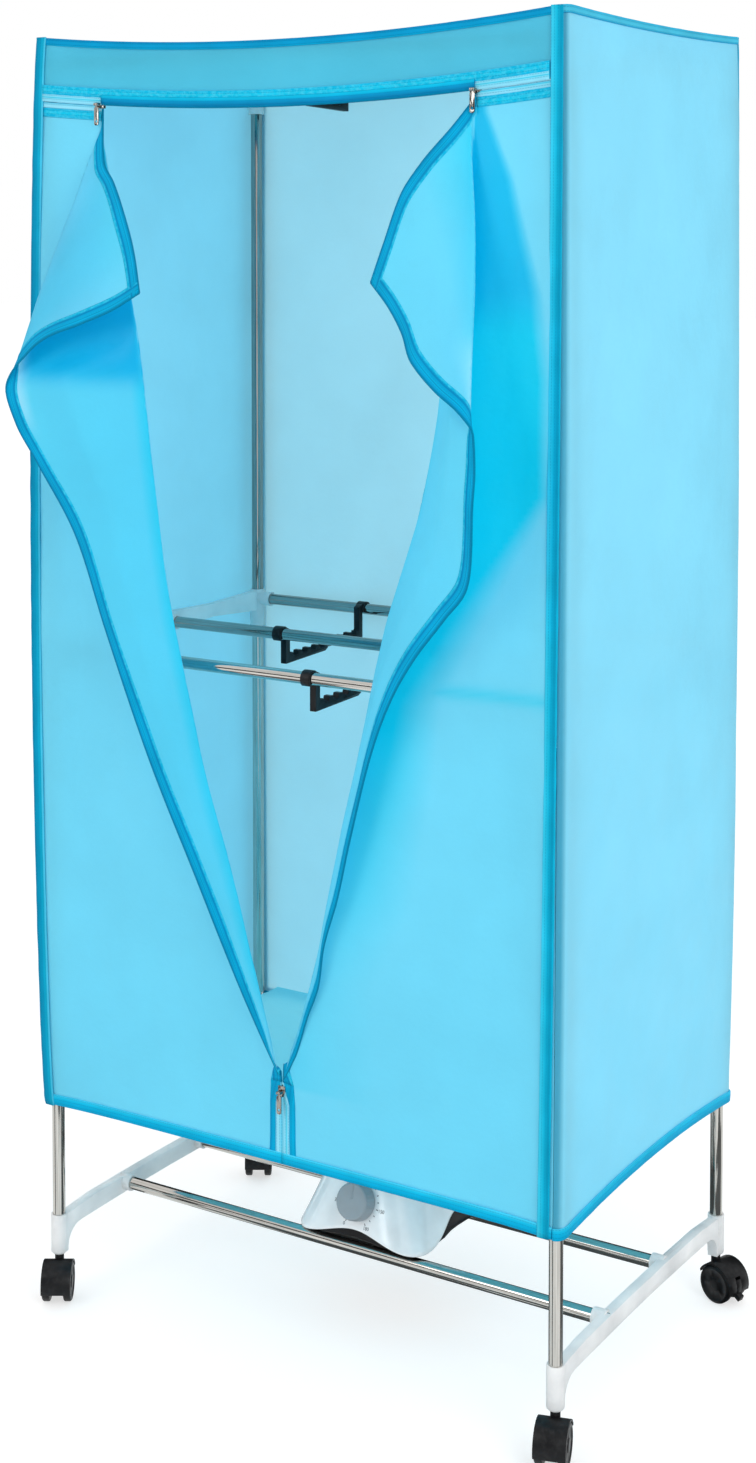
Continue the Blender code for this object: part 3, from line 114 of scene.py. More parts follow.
class Finish:
    """A material, or a world that is handed in, built node by node."""

    def __init__(self, name, owner=None):
        self.owner = owner or bpy.data.materials.new(name)
        self.owner.use_nodes = True
        self.tree = self.owner.node_tree
        self.tree.nodes.clear()

    def add(self, kind, settings=None, **inputs):
        node = self.tree.nodes.new("ShaderNode" + kind)
        for key, value in (settings or {}).items():
            setattr(node, key, value)
        for key, value in inputs.items():
            socket = node.inputs[int(key[1:])] if key.startswith("_") else node.inputs[key.replace("_", " ")]
            if isinstance(value, bpy.types.NodeSocket):
                self.tree.links.new(value, socket)
            else:
                socket.default_value = value
        return node

    def coordinates(self, kind, scale=(1, 1, 1)):
        place = self.add("TexCoord").outputs[kind]
        return self.add("Mapping", Vector=place, Scale=scale).outputs[0]

    def noise(self, place, scale, detail=2.0, roughness=0.5):
        return self.add("TexNoise", Vector=place, Scale=scale, Detail=detail, Roughness=roughness).outputs[0]

    def ramp(self, value, low, high, start=0.0, end=1.0):
        """A number spread over a range, from the low to the high end of what comes in."""
        return self.add("MapRange", _0=value, _1=low, _2=high, _3=start, _4=end).outputs[0]

    def math(self, operation, a, b=0.0):
        return self.add("Math", {"operation": operation}, _0=a, _1=b).outputs[0]

    def mix(self, share, a, b):
        return self.add("Mix", {"data_type": "RGBA"}, _0=share, _6=a, _7=b).outputs[2]

    def scaled(self, colour, share):
        return self.add("VectorMath", {"operation": "SCALE"}, _0=colour, Scale=share).outputs[0]

    def blend(self, share, a, b):
        return self.add("MixShader", _0=share, _1=a, _2=b).outputs[0]

    def seen_rays(self):
        """1 for a ray that shows a thing: straight from the camera, or by way of gloss or glass."""
        path = self.add("LightPath").outputs
        straight = self.math("MAXIMUM", path["Is Camera Ray"], path["Is Glossy Ray"])
        return self.math("MAXIMUM", straight, path["Is Transmission Ray"])

    def bump(self, height, strength, distance, below=None):
        node = self.add("Bump", Height=height, Strength=strength, Distance=distance)
        if below is not None:
            self.tree.links.new(below, node.inputs["Normal"])
        return node.outputs[0]

    def done(self, shader, output="OutputMaterial"):
        self.add(output, Surface=shader)
        return self.owner


def shade_of(colour, share):
    return (*[c * share for c in colour[:3]], 1)


def cloth_finish(name):
    """Thin coated cloth: a fine plain weave in the colour each point is given, the cloth's own blue with painted light
    and shade on some pieces, which lets some light and a little view through.
    """
    f = Finish(name)
    uv = f.coordinates("UV")
    place = f.coordinates("Object")
    dye_node = f.add("Attribute", {"attribute_name": "dye"}).outputs["Color"]
    cloudy = f.ramp(f.noise(place, 9, 3), 0.3, 0.7, 0.965, 1.03)
    fine = f.ramp(f.noise(uv, 900, 2), 0.3, 0.7, 0.985, 1.015)
    dyed = f.scaled(dye_node, f.math("MULTIPLY", cloudy, fine))
    across = f.add("TexWave", {"bands_direction": "X"}, Vector=uv, Scale=520.0).outputs["Fac"]
    along = f.add("TexWave", {"bands_direction": "Y"}, Vector=uv, Scale=520.0).outputs["Fac"]
    threads = f.math("ADD", across, along)
    creases = f.noise(place, 26, 3, 0.55)
    normal = f.bump(creases, 0.35, 0.004)
    normal = f.bump(threads, WEAVE, 0.00006, normal)
    gloss = f.ramp(f.noise(place, 14, 2), 0.3, 0.7, 0.36, 0.50)
    front = f.add("BsdfPrincipled", Base_Color=dyed, Roughness=gloss, Normal=normal, Sheen_Weight=0.05,
                  Sheen_Roughness=0.4, Specular_IOR_Level=0.28)
    through = f.add("BsdfTranslucent", Color=dyed, Normal=normal)
    body = f.blend(TRANSLUCENT, front.outputs[0], through.outputs[0])
    seen = f.add("BsdfTransparent", Color=f.add("Gamma", Color=dye_node, Gamma=0.6).outputs[0])
    return f.done(f.blend(CLEAR, body, seen.outputs[0]))


def tape_finish(name, width, bands, light=None, mottled_from=1.0, puckered=0.5):
    """Woven tape and binding: bands of tint across its width, stitch rows, ribs, and puckers that catch the light.

    The bands are places, as shares of the width from its outer edge, with their tints."""
    f = Finish(name)
    across, along, _ = f.add("SeparateXYZ", Vector=f.coordinates("UV")).outputs
    reach = f.math("DIVIDE", f.math("PINGPONG", across, width), width)
    ramp = f.add("ValToRGB", Fac=reach)
    stops = ramp.color_ramp.elements
    stops[0].position, stops[0].color = bands[0]
    stops[1].position, stops[1].color = bands[-1]
    for spot, tint in bands[1:-1]:
        stops.new(spot).color = tint
    patches = f.ramp(f.noise(f.coordinates("UV", (40, 18, 1)), 1.0, 2), 0.3, 0.7, 0.90, 1.08)
    tint = f.scaled(ramp.outputs[0], patches)
    if light:
        mottle = f.ramp(f.noise(f.coordinates("UV", (300, 170, 1)), 1.0, 3, 0.6), 0.42, 0.70, 0.0, 0.75)
        area = f.ramp(reach, mottled_from - 0.04, mottled_from + 0.04)
        tint = f.mix(f.math("MULTIPLY", mottle, area), tint, light)
    dash = f.math("LESS_THAN", f.math("FRACT", f.math("DIVIDE", along, 0.0032)), 0.72)
    rows = f.math("FRACT", f.math("DIVIDE", across, 0.0042))
    seam = f.math("LESS_THAN", f.math("ABSOLUTE", f.math("SUBTRACT", rows, 0.5)), 0.09)
    stitch = f.math("MULTIPLY", dash, seam)
    tint = f.mix(f.math("MULTIPLY", stitch, 0.35), tint, srgb(0, 122, 176))
    pucker = f.noise(f.coordinates("UV", (120, 210, 1)), 1.0, 2)
    normal = f.bump(pucker, puckered, 0.0010)
    normal = f.bump(stitch, 0.7, 0.0003, normal)
    ribs = f.add("TexWave", {"bands_direction": "X"}, Vector=f.coordinates("UV"), Scale=450.0).outputs["Fac"]
    normal = f.bump(ribs, 0.3, 0.00008, normal)
    front = f.add("BsdfPrincipled", Base_Color=tint, Roughness=0.5, Normal=normal, Specular_IOR_Level=0.06)
    through = f.add("BsdfTranslucent", Color=tint, Normal=normal)
    return f.done(f.blend(0.18, front.outputs[0], through.outputs[0]))


def teeth_finish(name, colour):
    """A nylon coil, seen as close ridges across the zip, with painted shade between the ridges."""
    f = Finish(name)
    along = f.add("SeparateXYZ", Vector=f.coordinates("UV")).outputs[1]
    ridge = f.math("SINE", f.math("MULTIPLY", along, math.tau / 0.0014))
    tint = f.mix(f.ramp(ridge, -1.0, 1.0), shade_of(colour, 0.75), colour)
    normal = f.bump(ridge, 0.9, 0.0004)
    return f.done(f.add("BsdfPrincipled", Base_Color=tint, Roughness=0.5, Normal=normal,
                        Specular_IOR_Level=0.05).outputs[0])


def steel_finish(name, tint, axis_scale, rough=(0.10, 0.24)):
    """Bright tube: fine lines along it, a little cloudiness and faint handling marks."""
    f = Finish(name)
    lines = f.noise(f.coordinates("UV", axis_scale), 1.0, 3, 0.6)
    clouds = f.noise(f.coordinates("Object"), 38, 3)
    marks = f.ramp(f.noise(f.coordinates("Object"), 210, 4, 0.65), 0.60, 0.72)
    dull = shade_of(tint, 0.6)
    worn = f.mix(f.math("MULTIPLY", marks, 0.25), tint, dull)
    colour = f.mix(f.ramp(lines, 0.35, 0.65, 0.0, 0.75), worn, dull)
    gloss = f.ramp(f.math("ADD", f.math("MULTIPLY", lines, 0.6), f.math("MULTIPLY", clouds, 0.4)), 0.3, 0.7, *rough)
    normal = f.bump(lines, 0.10, 0.0003)
    return f.done(f.add("BsdfPrincipled", Base_Color=colour, Metallic=1.0, Roughness=gloss, Normal=normal).outputs[0])


def plastic_finish(name, colour, rough=(0.3, 0.45), grain=0.12, grain_scale=900, wear=0.06, milky=0.0, coat=0.0,
                   shine=0.5):
    """Moulded plastic: an even colour with faint flow clouds, a fine mould grain and rubbed edges."""
    f = Finish(name)
    place = f.coordinates("Object")
    clouds = f.ramp(f.noise(place, 22, 3), 0.3, 0.7)
    pale = (*[min(1, c * 1.06 + 0.004) for c in colour[:3]], 1)
    tint = f.mix(clouds, shade_of(colour, 0.88), pale)
    edge = f.ramp(f.add("NewGeometry").outputs["Pointiness"], 0.53, 0.60)
    scuff = f.ramp(f.noise(place, 160, 4, 0.6), 0.45, 0.7)
    rubbed = (*[min(1, c + wear) for c in colour[:3]], 1)
    tint = f.mix(f.math("MULTIPLY", edge, scuff), tint, rubbed)
    normal = f.bump(f.noise(place, grain_scale, 2), grain, 0.0002)
    gloss = f.ramp(f.noise(place, 45, 3), 0.3, 0.7, *rough)
    shader = f.add("BsdfPrincipled", Base_Color=tint, Roughness=gloss, Normal=normal, Coat_Weight=coat,
                   Coat_Roughness=0.12, Specular_IOR_Level=shine).outputs[0]
    if milky:
        inside = f.add("BsdfTranslucent", Color=tint, Normal=normal).outputs[0]
        shader = f.blend(milky, shader, inside)
    return f.done(shader)


# Painted light on the cloth: the first two blues on the next line are painted shade on the door halves, and the third
# is the blue of the sides and top, painted lighter for the light falling on them.
SHADE_BLUE, DEEP_SHADE_BLUE, LIT_PANEL_BLUE = srgb(0, 214, 242), srgb(0, 186, 232), srgb(148, 231, 254)
# The second blue on the next line is the zip lip's own pale blue and a painted highlight on the door halves.
FRONT_BLUE, PALE_LIP_AND_HIGHLIGHT_BLUE, HEADER_BLUE = srgb(124, 223, 247), srgb(158, 232, 252), srgb(82, 199, 225)
# The first blue on the next line is the back wall painted near white for the light coming through it; the last is a
# painted shadow of the front posts on the side walls.
BACKLIT_INSIDE_BLUE, FLOOR_BLUE, POST_SHADOW_BLUE = srgb(190, 243, 254), srgb(150, 240, 254), srgb(60, 164, 194)
STEEL = (0.62, 0.60, 0.56, 1)
RIM, DARK, MIDDLE, BRIGHT = srgb(0, 132, 186), srgb(0, 158, 210), srgb(0, 182, 226), srgb(16, 202, 236)
STITCHED_LIGHT = srgb(78, 214, 240)

FINISHES = {
    "cloth": cloth_finish("dyed_cloth"),
    "binding": tape_finish("binding", BIND_WIDTH, ((0.0, DARK), (0.12, MIDDLE), (0.5, DARK), (1.0, MIDDLE))),
    # The corner bindings are one tape in two tones, the left darker than the right and each darker towards the corner's
    # edge: painted shade.
    "corner_left": tape_finish("corner_left", BIND_WIDTH, (
        (0.0, srgb(0, 138, 178)), (0.55, srgb(0, 160, 200)), (0.85, srgb(16, 178, 212)), (1.0, srgb(84, 206, 238)))),
    "corner_right": tape_finish("corner_right", BIND_WIDTH, (
        (0.0, srgb(0, 154, 192)), (0.3, srgb(10, 184, 220)), (0.6, srgb(44, 206, 238)), (1.0, srgb(78, 218, 248)))),
    "hem": tape_finish("hem_binding", HEM_WIDTH, (
        (0.0, srgb(0, 170, 216)), (0.35, srgb(2, 182, 228)), (0.7, srgb(22, 196, 236)), (1.0, srgb(74, 218, 250)))),
    "side_binding": tape_finish("side_binding", TOP_WIDTH, (
        (0.0, MIDDLE), (0.2, srgb(66, 190, 222)), (0.8, srgb(76, 200, 230)), (1.0, DARK))),
    "top_binding": tape_finish("top_binding", TOP_WIDTH, ((0.0, RIM), (0.3, DARK), (0.8, DARK), (1.0, MIDDLE))),
    # The zip tape's dark outer rim, along the coil, is painted shade for the coil's shadow.
    "tape": tape_finish("zip_tape", TAPE_WIDTH, (
        (0.0, RIM), (0.10, DARK), (0.26, MIDDLE), (0.31, RIM), (0.38, MIDDLE), (0.60, DARK), (0.65, RIM), (0.72, DARK),
        (1.0, BRIGHT)), STITCHED_LIGHT, 0.78),
    "seam": tape_finish("stitched_seam", SEAM_WIDTH, (
        (0.0, MIDDLE), (0.5, BRIGHT), (0.84, MIDDLE), (1.0, STITCHED_LIGHT)), STITCHED_LIGHT, 0.0, 0.7),
    "smooth": tape_finish("smooth_tape", LIP_WIDTH + 0.0030, (
        (0.0, RIM), (0.42, DARK), (0.55, MIDDLE), (1.0, BRIGHT))),
    "lip": tape_finish("zip_lip", LIP_WIDTH, (
        (0.0, BRIGHT), (0.12, FRONT_BLUE), (0.8, PALE_LIP_AND_HIGHLIGHT_BLUE), (1.0, FRONT_BLUE))),
    "teeth": teeth_finish("zip_coil", srgb(0, 146, 190)),
    "tube": steel_finish("bright_tube", STEEL, (700, 9, 1), (0.05, 0.12)),
    "shaded_tube": steel_finish("shaded_tube", (0.40, 0.39, 0.37, 1), (700, 9, 1), (0.05, 0.12)),
    "zinc": steel_finish("plated_zinc", (0.40, 0.38, 0.35, 1), (240, 240, 1), (0.10, 0.24)),
    "white": plastic_finish("white_nylon", srgb(247, 249, 250), (0.34, 0.5), 0.06, milky=0.30),
    "shell": plastic_finish("gloss_shell", srgb(240, 243, 245), (0.12, 0.2), 0.03, 700, coat=0.5),
    "black": plastic_finish("black_plastic", srgb(13, 14, 17), (0.34, 0.42), 0.06, 1100, 0.03, shine=0.2),
    "tread": plastic_finish("black_tread", srgb(12, 13, 15), (0.42, 0.52), 0.08, 1400, 0.02, shine=0.2),
    "grey": plastic_finish("grey_knob", srgb(146, 156, 163), (0.4, 0.5), 0.1, 1200, 0.05),
    "print": plastic_finish("grey_print", srgb(66, 78, 88), (0.4, 0.5), 0.05),
    "ceramic": plastic_finish("ceramic", srgb(205, 200, 188), (0.6, 0.8), 0.3, 800),
    "motor": steel_finish("motor_steel", (0.45, 0.45, 0.46, 1), (200, 200, 1), (0.3, 0.5)),
}


# Mesh making


def smooth_all(mesh):
    mesh.polygons.foreach_set("use_smooth", [True] * len(mesh.polygons))


def as_piece(name, mesh, finish, body="stand", nodes=()):
    """A mesh written round the stand becomes a piece of the frame, riding on its body."""
    item = bpy.data.objects.new(name, mesh)
    bpy.context.scene.collection.objects.link(item)
    mesh.materials.append(FINISHES[finish])
    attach(item, body)
    if nodes:
        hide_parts(*nodes)
    return item


@contextmanager
def reworked(mesh):
    """The mesh opened for a change, and closed again with its faces turned outwards."""
    bm = bmesh.new()
    bm.from_mesh(mesh)
    bm.verts.ensure_lookup_table()
    yield bm
    bmesh.ops.recalc_face_normals(bm, faces=bm.faces)
    bm.to_mesh(mesh)
    bm.free()


def close_ends(mesh, around):
    """A face over each end of a skin of rings, which have so many points around."""
    with reworked(mesh) as bm:
        last = len(bm.verts) - around
        bm.faces.new([bm.verts[j] for j in range(around)][::-1])
        bm.faces.new([bm.verts[last + j] for j in range(around)])


def weld(mesh):
    with reworked(mesh) as bm:
        bmesh.ops.remove_doubles(bm, verts=bm.verts, dist=1e-6)


def grid_mesh(name, rows, closed=False, lengths=None):
    """A skin over rows of points, with a map in metres: across the rows and along them."""
    rows = np.asarray(rows, float)
    tall, wide = rows.shape[:2]
    steps = np.linalg.norm(np.diff(rows, axis=1), axis=2)
    across = np.concatenate([np.zeros((tall, 1)), np.cumsum(steps, axis=1)], axis=1)
    middle = rows[:, wide // 2]
    along = np.concatenate([[0], np.cumsum(np.linalg.norm(np.diff(middle, axis=0), axis=1))])
    if lengths is not None:
        along = lengths
    faces, maps = [], []
    turn = wide if closed else wide - 1
    around = np.linalg.norm(rows[:, 0] - rows[:, -1], axis=1)
    for i in range(tall - 1):
        for j in range(turn):
            k = (j + 1) % wide
            faces.append((i * wide + j, i * wide + k, (i + 1) * wide + k, (i + 1) * wide + j))
            u0, u1 = across[i, j], across[i, k] if k else across[i, j] + around[i]
            v0, v1 = across[i + 1, j], across[i + 1, k] if k else across[i + 1, j] + around[i + 1]
            maps += [(u0, along[i]), (u1, along[i]), (v1, along[i + 1]), (v0, along[i + 1])]
    mesh = bpy.data.meshes.new(name)
    mesh.from_pydata((rows.reshape(-1, 3) + STAND).tolist(), [], faces)
    layer = mesh.uv_layers.new(name="Map")
    layer.data.foreach_set("uv", np.array(maps, float).ravel())
    smooth_all(mesh)
    return mesh


# A colour on each point: the cloth's own blue, with painted light and shade where the caller gives it.
def dye(mesh, colours):
    layer = mesh.color_attributes.new("dye", "FLOAT_COLOR", "POINT")
    layer.data.foreach_set("color", np.asarray(colours, np.float32).ravel())


def even_dye(mesh, colour):
    dye(mesh, [colour] * len(mesh.vertices))


def eased(share):
    return share * share * (3 - 2 * share)


def blended(base, tint, share):
    share = np.clip(share, 0, 1)[..., None]
    return np.asarray(base) * (1 - share) + np.asarray(tint) * share


def normals_of(rows):
    along = np.gradient(rows, axis=0)
    across = np.gradient(rows, axis=1)
    out = np.cross(across, along)
    return out / np.maximum(np.linalg.norm(out, axis=2, keepdims=True), 1e-9)


def rippled(rows, depth, size, seed, stretch=(1, 1, 1), edge=6):
    """The rows with soft folds along their normals, which die out within a few rows of each edge."""
    tall, wide = rows.shape[:2]
    folds = np.zeros((tall, wide))
    for i in range(tall):
        for j in range(wide):
            x, y, z = (rows[i, j] * stretch) / size
            folds[i, j] = noise.fractal(Vector((x + seed, y - seed, z)), 0.9, 2.0, 2)
    near_i = np.minimum(np.arange(tall), np.arange(tall)[::-1])[:, None]
    near_j = np.minimum(np.arange(wide), np.arange(wide)[::-1])[None, :]
    hold = eased(np.clip(np.minimum(near_i, near_j) / edge, 0, 1))
    return rows + normals_of(rows) * (folds * hold * depth)[..., None]


def monotone(params, points, at):
    """A smooth run through the points at their params, which never overshoots, read at other params."""
    params, points, at = (np.asarray(v, float) for v in (params, points, at))
    points = points.reshape(len(params), -1)
    step = np.diff(params)[:, None]
    slope = np.diff(points, axis=0) / step
    tangent = np.zeros_like(points)
    tangent[0], tangent[-1] = slope[0], slope[-1]
    a, b = slope[:-1], slope[1:]
    w1, w2 = 2 * step[1:] + step[:-1], step[1:] + 2 * step[:-1]
    same = a * b > 0
    with np.errstate(divide="ignore", invalid="ignore"):
        joined = (w1 + w2) / (w1 / a + w2 / b)
    tangent[1:-1] = np.where(same, joined, 0)
    i = np.clip(np.searchsorted(params, at, side="right") - 1, 0, len(params) - 2)
    h = step[i]
    t = ((at - params[i])[:, None]) / h
    return (points[i] * (1 + 2 * t) * (1 - t) ** 2 + h * tangent[i] * t * (1 - t) ** 2
            + points[i + 1] * t * t * (3 - 2 * t) - h * tangent[i + 1] * t * t * (1 - t))


def within_reach(line):
    """Points that would stand out further than the flaps reach, brought back along the camera's line of sight."""
    line = np.array(line, float)
    limit = -COVER_Y - FLAP_REACH - 0.002
    for p in line:
        if p[1] < limit:
            p[:] = EYE + (p - EYE) * (limit - EYE[1]) / (p[1] - EYE[1])
    return line


def arc_lengths(line):
    return np.concatenate([[0], np.cumsum(np.linalg.norm(np.diff(line, axis=0), axis=1))])


def even_line(line, step):
    """The line with its points a step apart."""
    line = np.asarray(line, float)
    run = arc_lengths(line)
    return monotone(run, line, np.linspace(0, run[-1], max(3, round(run[-1] / step) + 1)))


def relaxed(rows, times):
    """Softens a grid by moving each inner point towards its neighbours, with the edges held."""
    rows = rows.copy()
    for _ in range(times):
        middle = (rows[:-2, 1:-1] + rows[2:, 1:-1] + rows[1:-1, :-2] + rows[1:-1, 2:]) / 4
        rows[1:-1, 1:-1] += 0.5 * (middle - rows[1:-1, 1:-1])
    return rows


def strip(name, edge, inner, finish, thick=TAPE_THICK, bead=0.0, waves=0.0, seed=0):
    """A closed band of doubled cloth between two lines, rounded at both sides, with a cord in its outer side."""
    edge, inner = np.asarray(edge, float), np.asarray(inner, float)
    along = np.gradient(edge, axis=0)
    along /= np.linalg.norm(along, axis=1, keepdims=True)
    wide = inner - edge
    span = np.linalg.norm(wide, axis=1, keepdims=True)
    out = np.cross(along, wide / span)
    out /= np.linalg.norm(out, axis=1, keepdims=True)
    half = thick / 2
    back = [(0.0, -bead - half * 0.6), (0.05, -half - bead * 0.5), (0.16, -half), (0.5, -half * 1.15), (0.88, -half),
            (1.0, -half * 0.45)]
    shape = back + [(t, -h) for t, h in back[::-1]] + [(-0.06, half * 0.2), (-0.06, -half * 0.2)]
    wobble = np.zeros(len(edge))
    if waves:
        wobble = np.array([waves * noise.noise(Vector((i * 0.35, seed, 0))) for i in range(len(edge))])
    rows = []
    for i in range(len(edge)):
        rows.append([edge[i] + wide[i] * t + out[i] * (h + wobble[i] * min(1, 1.2 - t)) for t, h in shape])
    mesh = grid_mesh(name, rows, closed=True, lengths=arc_lengths(edge))
    close_ends(mesh, len(shape))
    return as_piece(name, mesh, finish)


def coil(name, line, radius=TEETH):
    """The zip's coil along a line."""
    line = np.asarray(line, float)
    along = np.gradient(line, axis=0)
    along /= np.linalg.norm(along, axis=1, keepdims=True)
    side = np.cross(along, (0, 1, 0.001))
    side /= np.linalg.norm(side, axis=1, keepdims=True)
    out = np.cross(along, side)
    turns = [math.tau * j / 8 for j in range(8)]
    rows = [[p + radius * (s * math.cos(a) + 0.7 * o * math.sin(a)) for a in turns]
            for p, s, o in zip(line, side, out)]
    mesh = grid_mesh(name, rows, closed=True, lengths=arc_lengths(line))
    close_ends(mesh, len(turns))
    return as_piece(name, mesh, "teeth")


# The cover's outline


def top_height(x, y):
    return STAND_HEIGHT - SAG_FRONT * (1 - (x / COVER_X) ** 2) - SAG_SIDE * (1 - (y / COVER_Y) ** 2)


def hem_height(y):
    return HEM_HEIGHT + HEM_BOW * (1 - (y / COVER_Y) ** 2)


def door_top(x):
    return top_height(x, COVER_Y) - HEADER_DROP - ZIP_GAP


def corner(turns, inset):
    """A rounded front corner in plan, from the front face round to the side."""
    middle = (COVER_X - COVER_ROUND, -COVER_Y + COVER_ROUND)
    radius = COVER_ROUND - inset
    return [(middle[0] + radius * math.sin(a), middle[1] - radius * math.cos(a))
            for a in np.linspace(0, math.pi / 2, turns)]


def side_plan(inset=0.0, pitch=0.008):
    """A side wall in plan, round both its corners, front to back."""
    front = corner(7, inset)
    reach = COVER_Y - COVER_ROUND
    count = round(2 * reach / pitch)
    middle = [(COVER_X - inset, y) for y in np.linspace(-reach, reach, count + 1)[1:-1]]
    return front + middle + [(x, -y) for x, y in front[::-1]]


def puffed(points):
    """The cover's points near its upright corners, let out where the cloth stands off the posts."""
    points = np.array(points, float)
    x, y, z = points[..., 0], points[..., 1], points[..., 2]
    rise = np.sin(math.pi * np.clip((z - HEM_HEIGHT) / COVER_HEIGHT, 0, 1)) ** 0.6
    near = np.clip((np.abs(x) - COVER_X + 0.07) / 0.06, 0, 1)
    held = np.clip(1 - (-COVER_Y - 0.004 - y) / 0.03, 0, 1)
    share = rise * eased(near) * held
    depth = np.clip(y / COVER_Y, -1, 1)
    near_post = (x > 0) & (y < 0)
    points[..., 0] += share * np.where(x > 0, 0.0085 - 0.0030 * np.abs(depth), 0.0010 * depth - 0.0070)
    points[..., 1] += share * depth * np.where(near_post, 0.0060, np.where(y < 0, 0.0095, 0.004))
    return points


def lifted(points):
    """Points near the front hem, drawn up a little between the corners, where the zip's stitching takes up cloth."""
    points = np.array(points, float)
    x, y, z = points[..., 0], points[..., 1], points[..., 2]
    share = np.clip((0.37 - z) / (0.37 - HEM_HEIGHT), 0, 1) * np.clip((-COVER_Y + 0.04 - y) / 0.03, 0, 1)
    points[..., 2] += HEM_LIFT * share * (1 - np.clip(np.abs(x) / COVER_X, 0, 1) ** 6)
    return points


def side_wall(side):
    """One side wall, from its hem to the top, puckered a little along its seams."""
    name = "left" if side < 0 else "right"
    plan = side_plan()
    rows = []
    for up in np.linspace(0, 1, 150):
        row = []
        for x, y in plan:
            low, high = hem_height(y), top_height(x, y)
            out = SWELL * 0.8 * math.sin(math.pi * up) * math.sin(math.pi * (y + COVER_Y) / (2 * COVER_Y))
            row.append((side * (x + out), y, low + (high - low) * up))
        rows.append(row)
    rows = np.array(rows)
    if side < 0:
        rows = rows[:, ::-1]
    rows = rippled(rows, 0.0016, 0.22, 3.1 * side, (1, 1, 0.5), 9)
    rows = puffed(rippled(rows, 0.0004, 0.035, 5.7 * side, (1, 1, 0.35), 3))
    mesh = grid_mesh("cloth_side_" + name, rows)
    up = (rows[..., 2] - HEM_HEIGHT) / COVER_HEIGHT
    from_front = np.array([y for x, y in (plan[::-1] if side < 0 else plan)]) + COVER_Y
    # Painted shadow: a grey-blue stripe down the wall just behind its front corner, where the post stands close behind
    # the cloth.
    post_shadow = 0.9 * np.clip((0.0026 + 0.0024 * up - from_front) / 0.0036 + 0.5, 0, 1)
    # Painted light: the wall in the lighter blue of a lit panel.
    dye(mesh, blended(LIT_PANEL_BLUE, POST_SHADOW_BLUE, post_shadow))
    return as_piece("cloth_side_" + name, mesh, "cloth", nodes=["cover_side_" + name])


def back_wall():
    rows = []
    for up in np.linspace(0, 1, 150):
        row = []
        for across in np.linspace(0, 1, 84):
            x = FRONT_X * (2 * across - 1)
            high = top_height(x, COVER_Y)
            out = SWELL * 0.8 * math.sin(math.pi * up) * math.sin(math.pi * across)
            row.append((x, COVER_Y + out, HEM_HEIGHT + (high - HEM_HEIGHT) * up))
        rows.append(row)
    rows = np.array(rows)[:, ::-1]
    rows = rippled(rows, 0.0018, 0.24, 9.3, (1, 1, 0.5), 9)
    rows = puffed(rippled(rows, 0.0004, 0.035, 2.2, (1, 1, 0.35), 3))
    mesh = grid_mesh("cloth_back", rows)
    # Painted light: the back wall's inner face near white, for the light coming through it.
    even_dye(mesh, BACKLIT_INSIDE_BLUE)
    return as_piece("cloth_back", mesh, "cloth", nodes=["cover_back"])


def top_sheet():
    columns = np.linspace(-1, 1, 84)
    rows = np.array([[(x * half, y, top_height(x * half, y)) for x in columns] for half, y in side_plan(0.0011)])
    rows = rippled(rows, 0.0022, 0.16, 4.4, (1, 1, 1), 8)
    mesh = grid_mesh("cloth_top", rows)
    # Painted light: the top shares the side walls' lighter blue.
    even_dye(mesh, LIT_PANEL_BLUE)
    return as_piece("cloth_top", mesh, "cloth", nodes=["cover_top"])


def header_sheet():
    """The front band under the top, which the door's zip is sewn to."""
    columns = np.linspace(-1, 1, 110)
    rows = []
    for drop in np.linspace(1, 0, 14):
        rows.append([(x * FRONT_X, -COVER_Y - 0.0006 * math.sin(math.pi * drop),
                      top_height(x * FRONT_X, COVER_Y) - HEADER_DROP * drop) for x in columns])
    rows = rippled(np.array(rows), 0.0012, 0.10, 7.7, (1, 1, 0.4), 4)
    mesh = grid_mesh("cloth_header", puffed(rows))
    even_dye(mesh, HEADER_BLUE)
    return as_piece("cloth_header", mesh, "cloth")


def heater_rise(height):
    return max(0.0, (HEATER_TOP - height) / (HEATER_TOP - HEATER_LOW))


def heater_half(height):
    return HEATER_HALF_TOP + (HEATER_HALF_LOW - HEATER_HALF_TOP) * heater_rise(height) ** 1.6


def floor_sheet():
    """The bottom cloth, with a round hole for the heater and its corners cut away round the posts."""
    edge_x, edge_y = COVER_X - 0.0011, COVER_Y - 0.0011
    notch = COVER_X - HALF_X + COVER_Y - HALF_Y + 2 * TUBE - 0.0055
    radius = heater_half(HEM_HEIGHT) + 0.007
    corners = [(edge_x, notch - edge_y), (edge_x, edge_y - notch), (edge_x - notch, edge_y), (notch - edge_x, edge_y)]
    corners += [(-x, -y) for x, y in corners]
    rim = []
    for start, end, parts in zip(corners, corners[1:] + corners[:1], (36, 4, 60, 4, 36, 4, 60, 4)):
        rim += [np.array(start) + (np.array(end) - np.array(start)) * i / parts for i in range(parts)]
    rows = []
    for share in np.linspace(0, 1, 26):
        row = []
        for point in rim:
            way = (point - HEATER) / np.linalg.norm(point - HEATER)
            x, y = HEATER + way * radius + (point - HEATER - way * radius) * share
            bow = (abs(x) / COVER_X) ** 4
            z = HEM_HEIGHT + 0.003 + (hem_height(y) - HEM_HEIGHT) * bow
            z += 0.0150 * max(0.0, (y - COVER_Y + 0.035) / 0.035) ** 2
            fold = noise.fractal(Vector((x * 14, y * 14, 0.5)), 0.8, 2.0, 3)
            row.append((x, y, z + 0.005 * fold * math.sin(math.pi * share)))
        rows.append(row)
    mesh = grid_mesh("cloth_floor", lifted(rows), closed=True)
    even_dye(mesh, FLOOR_BLUE)
    return as_piece("cloth_floor", mesh, "cloth", nodes=["cover_floor"])


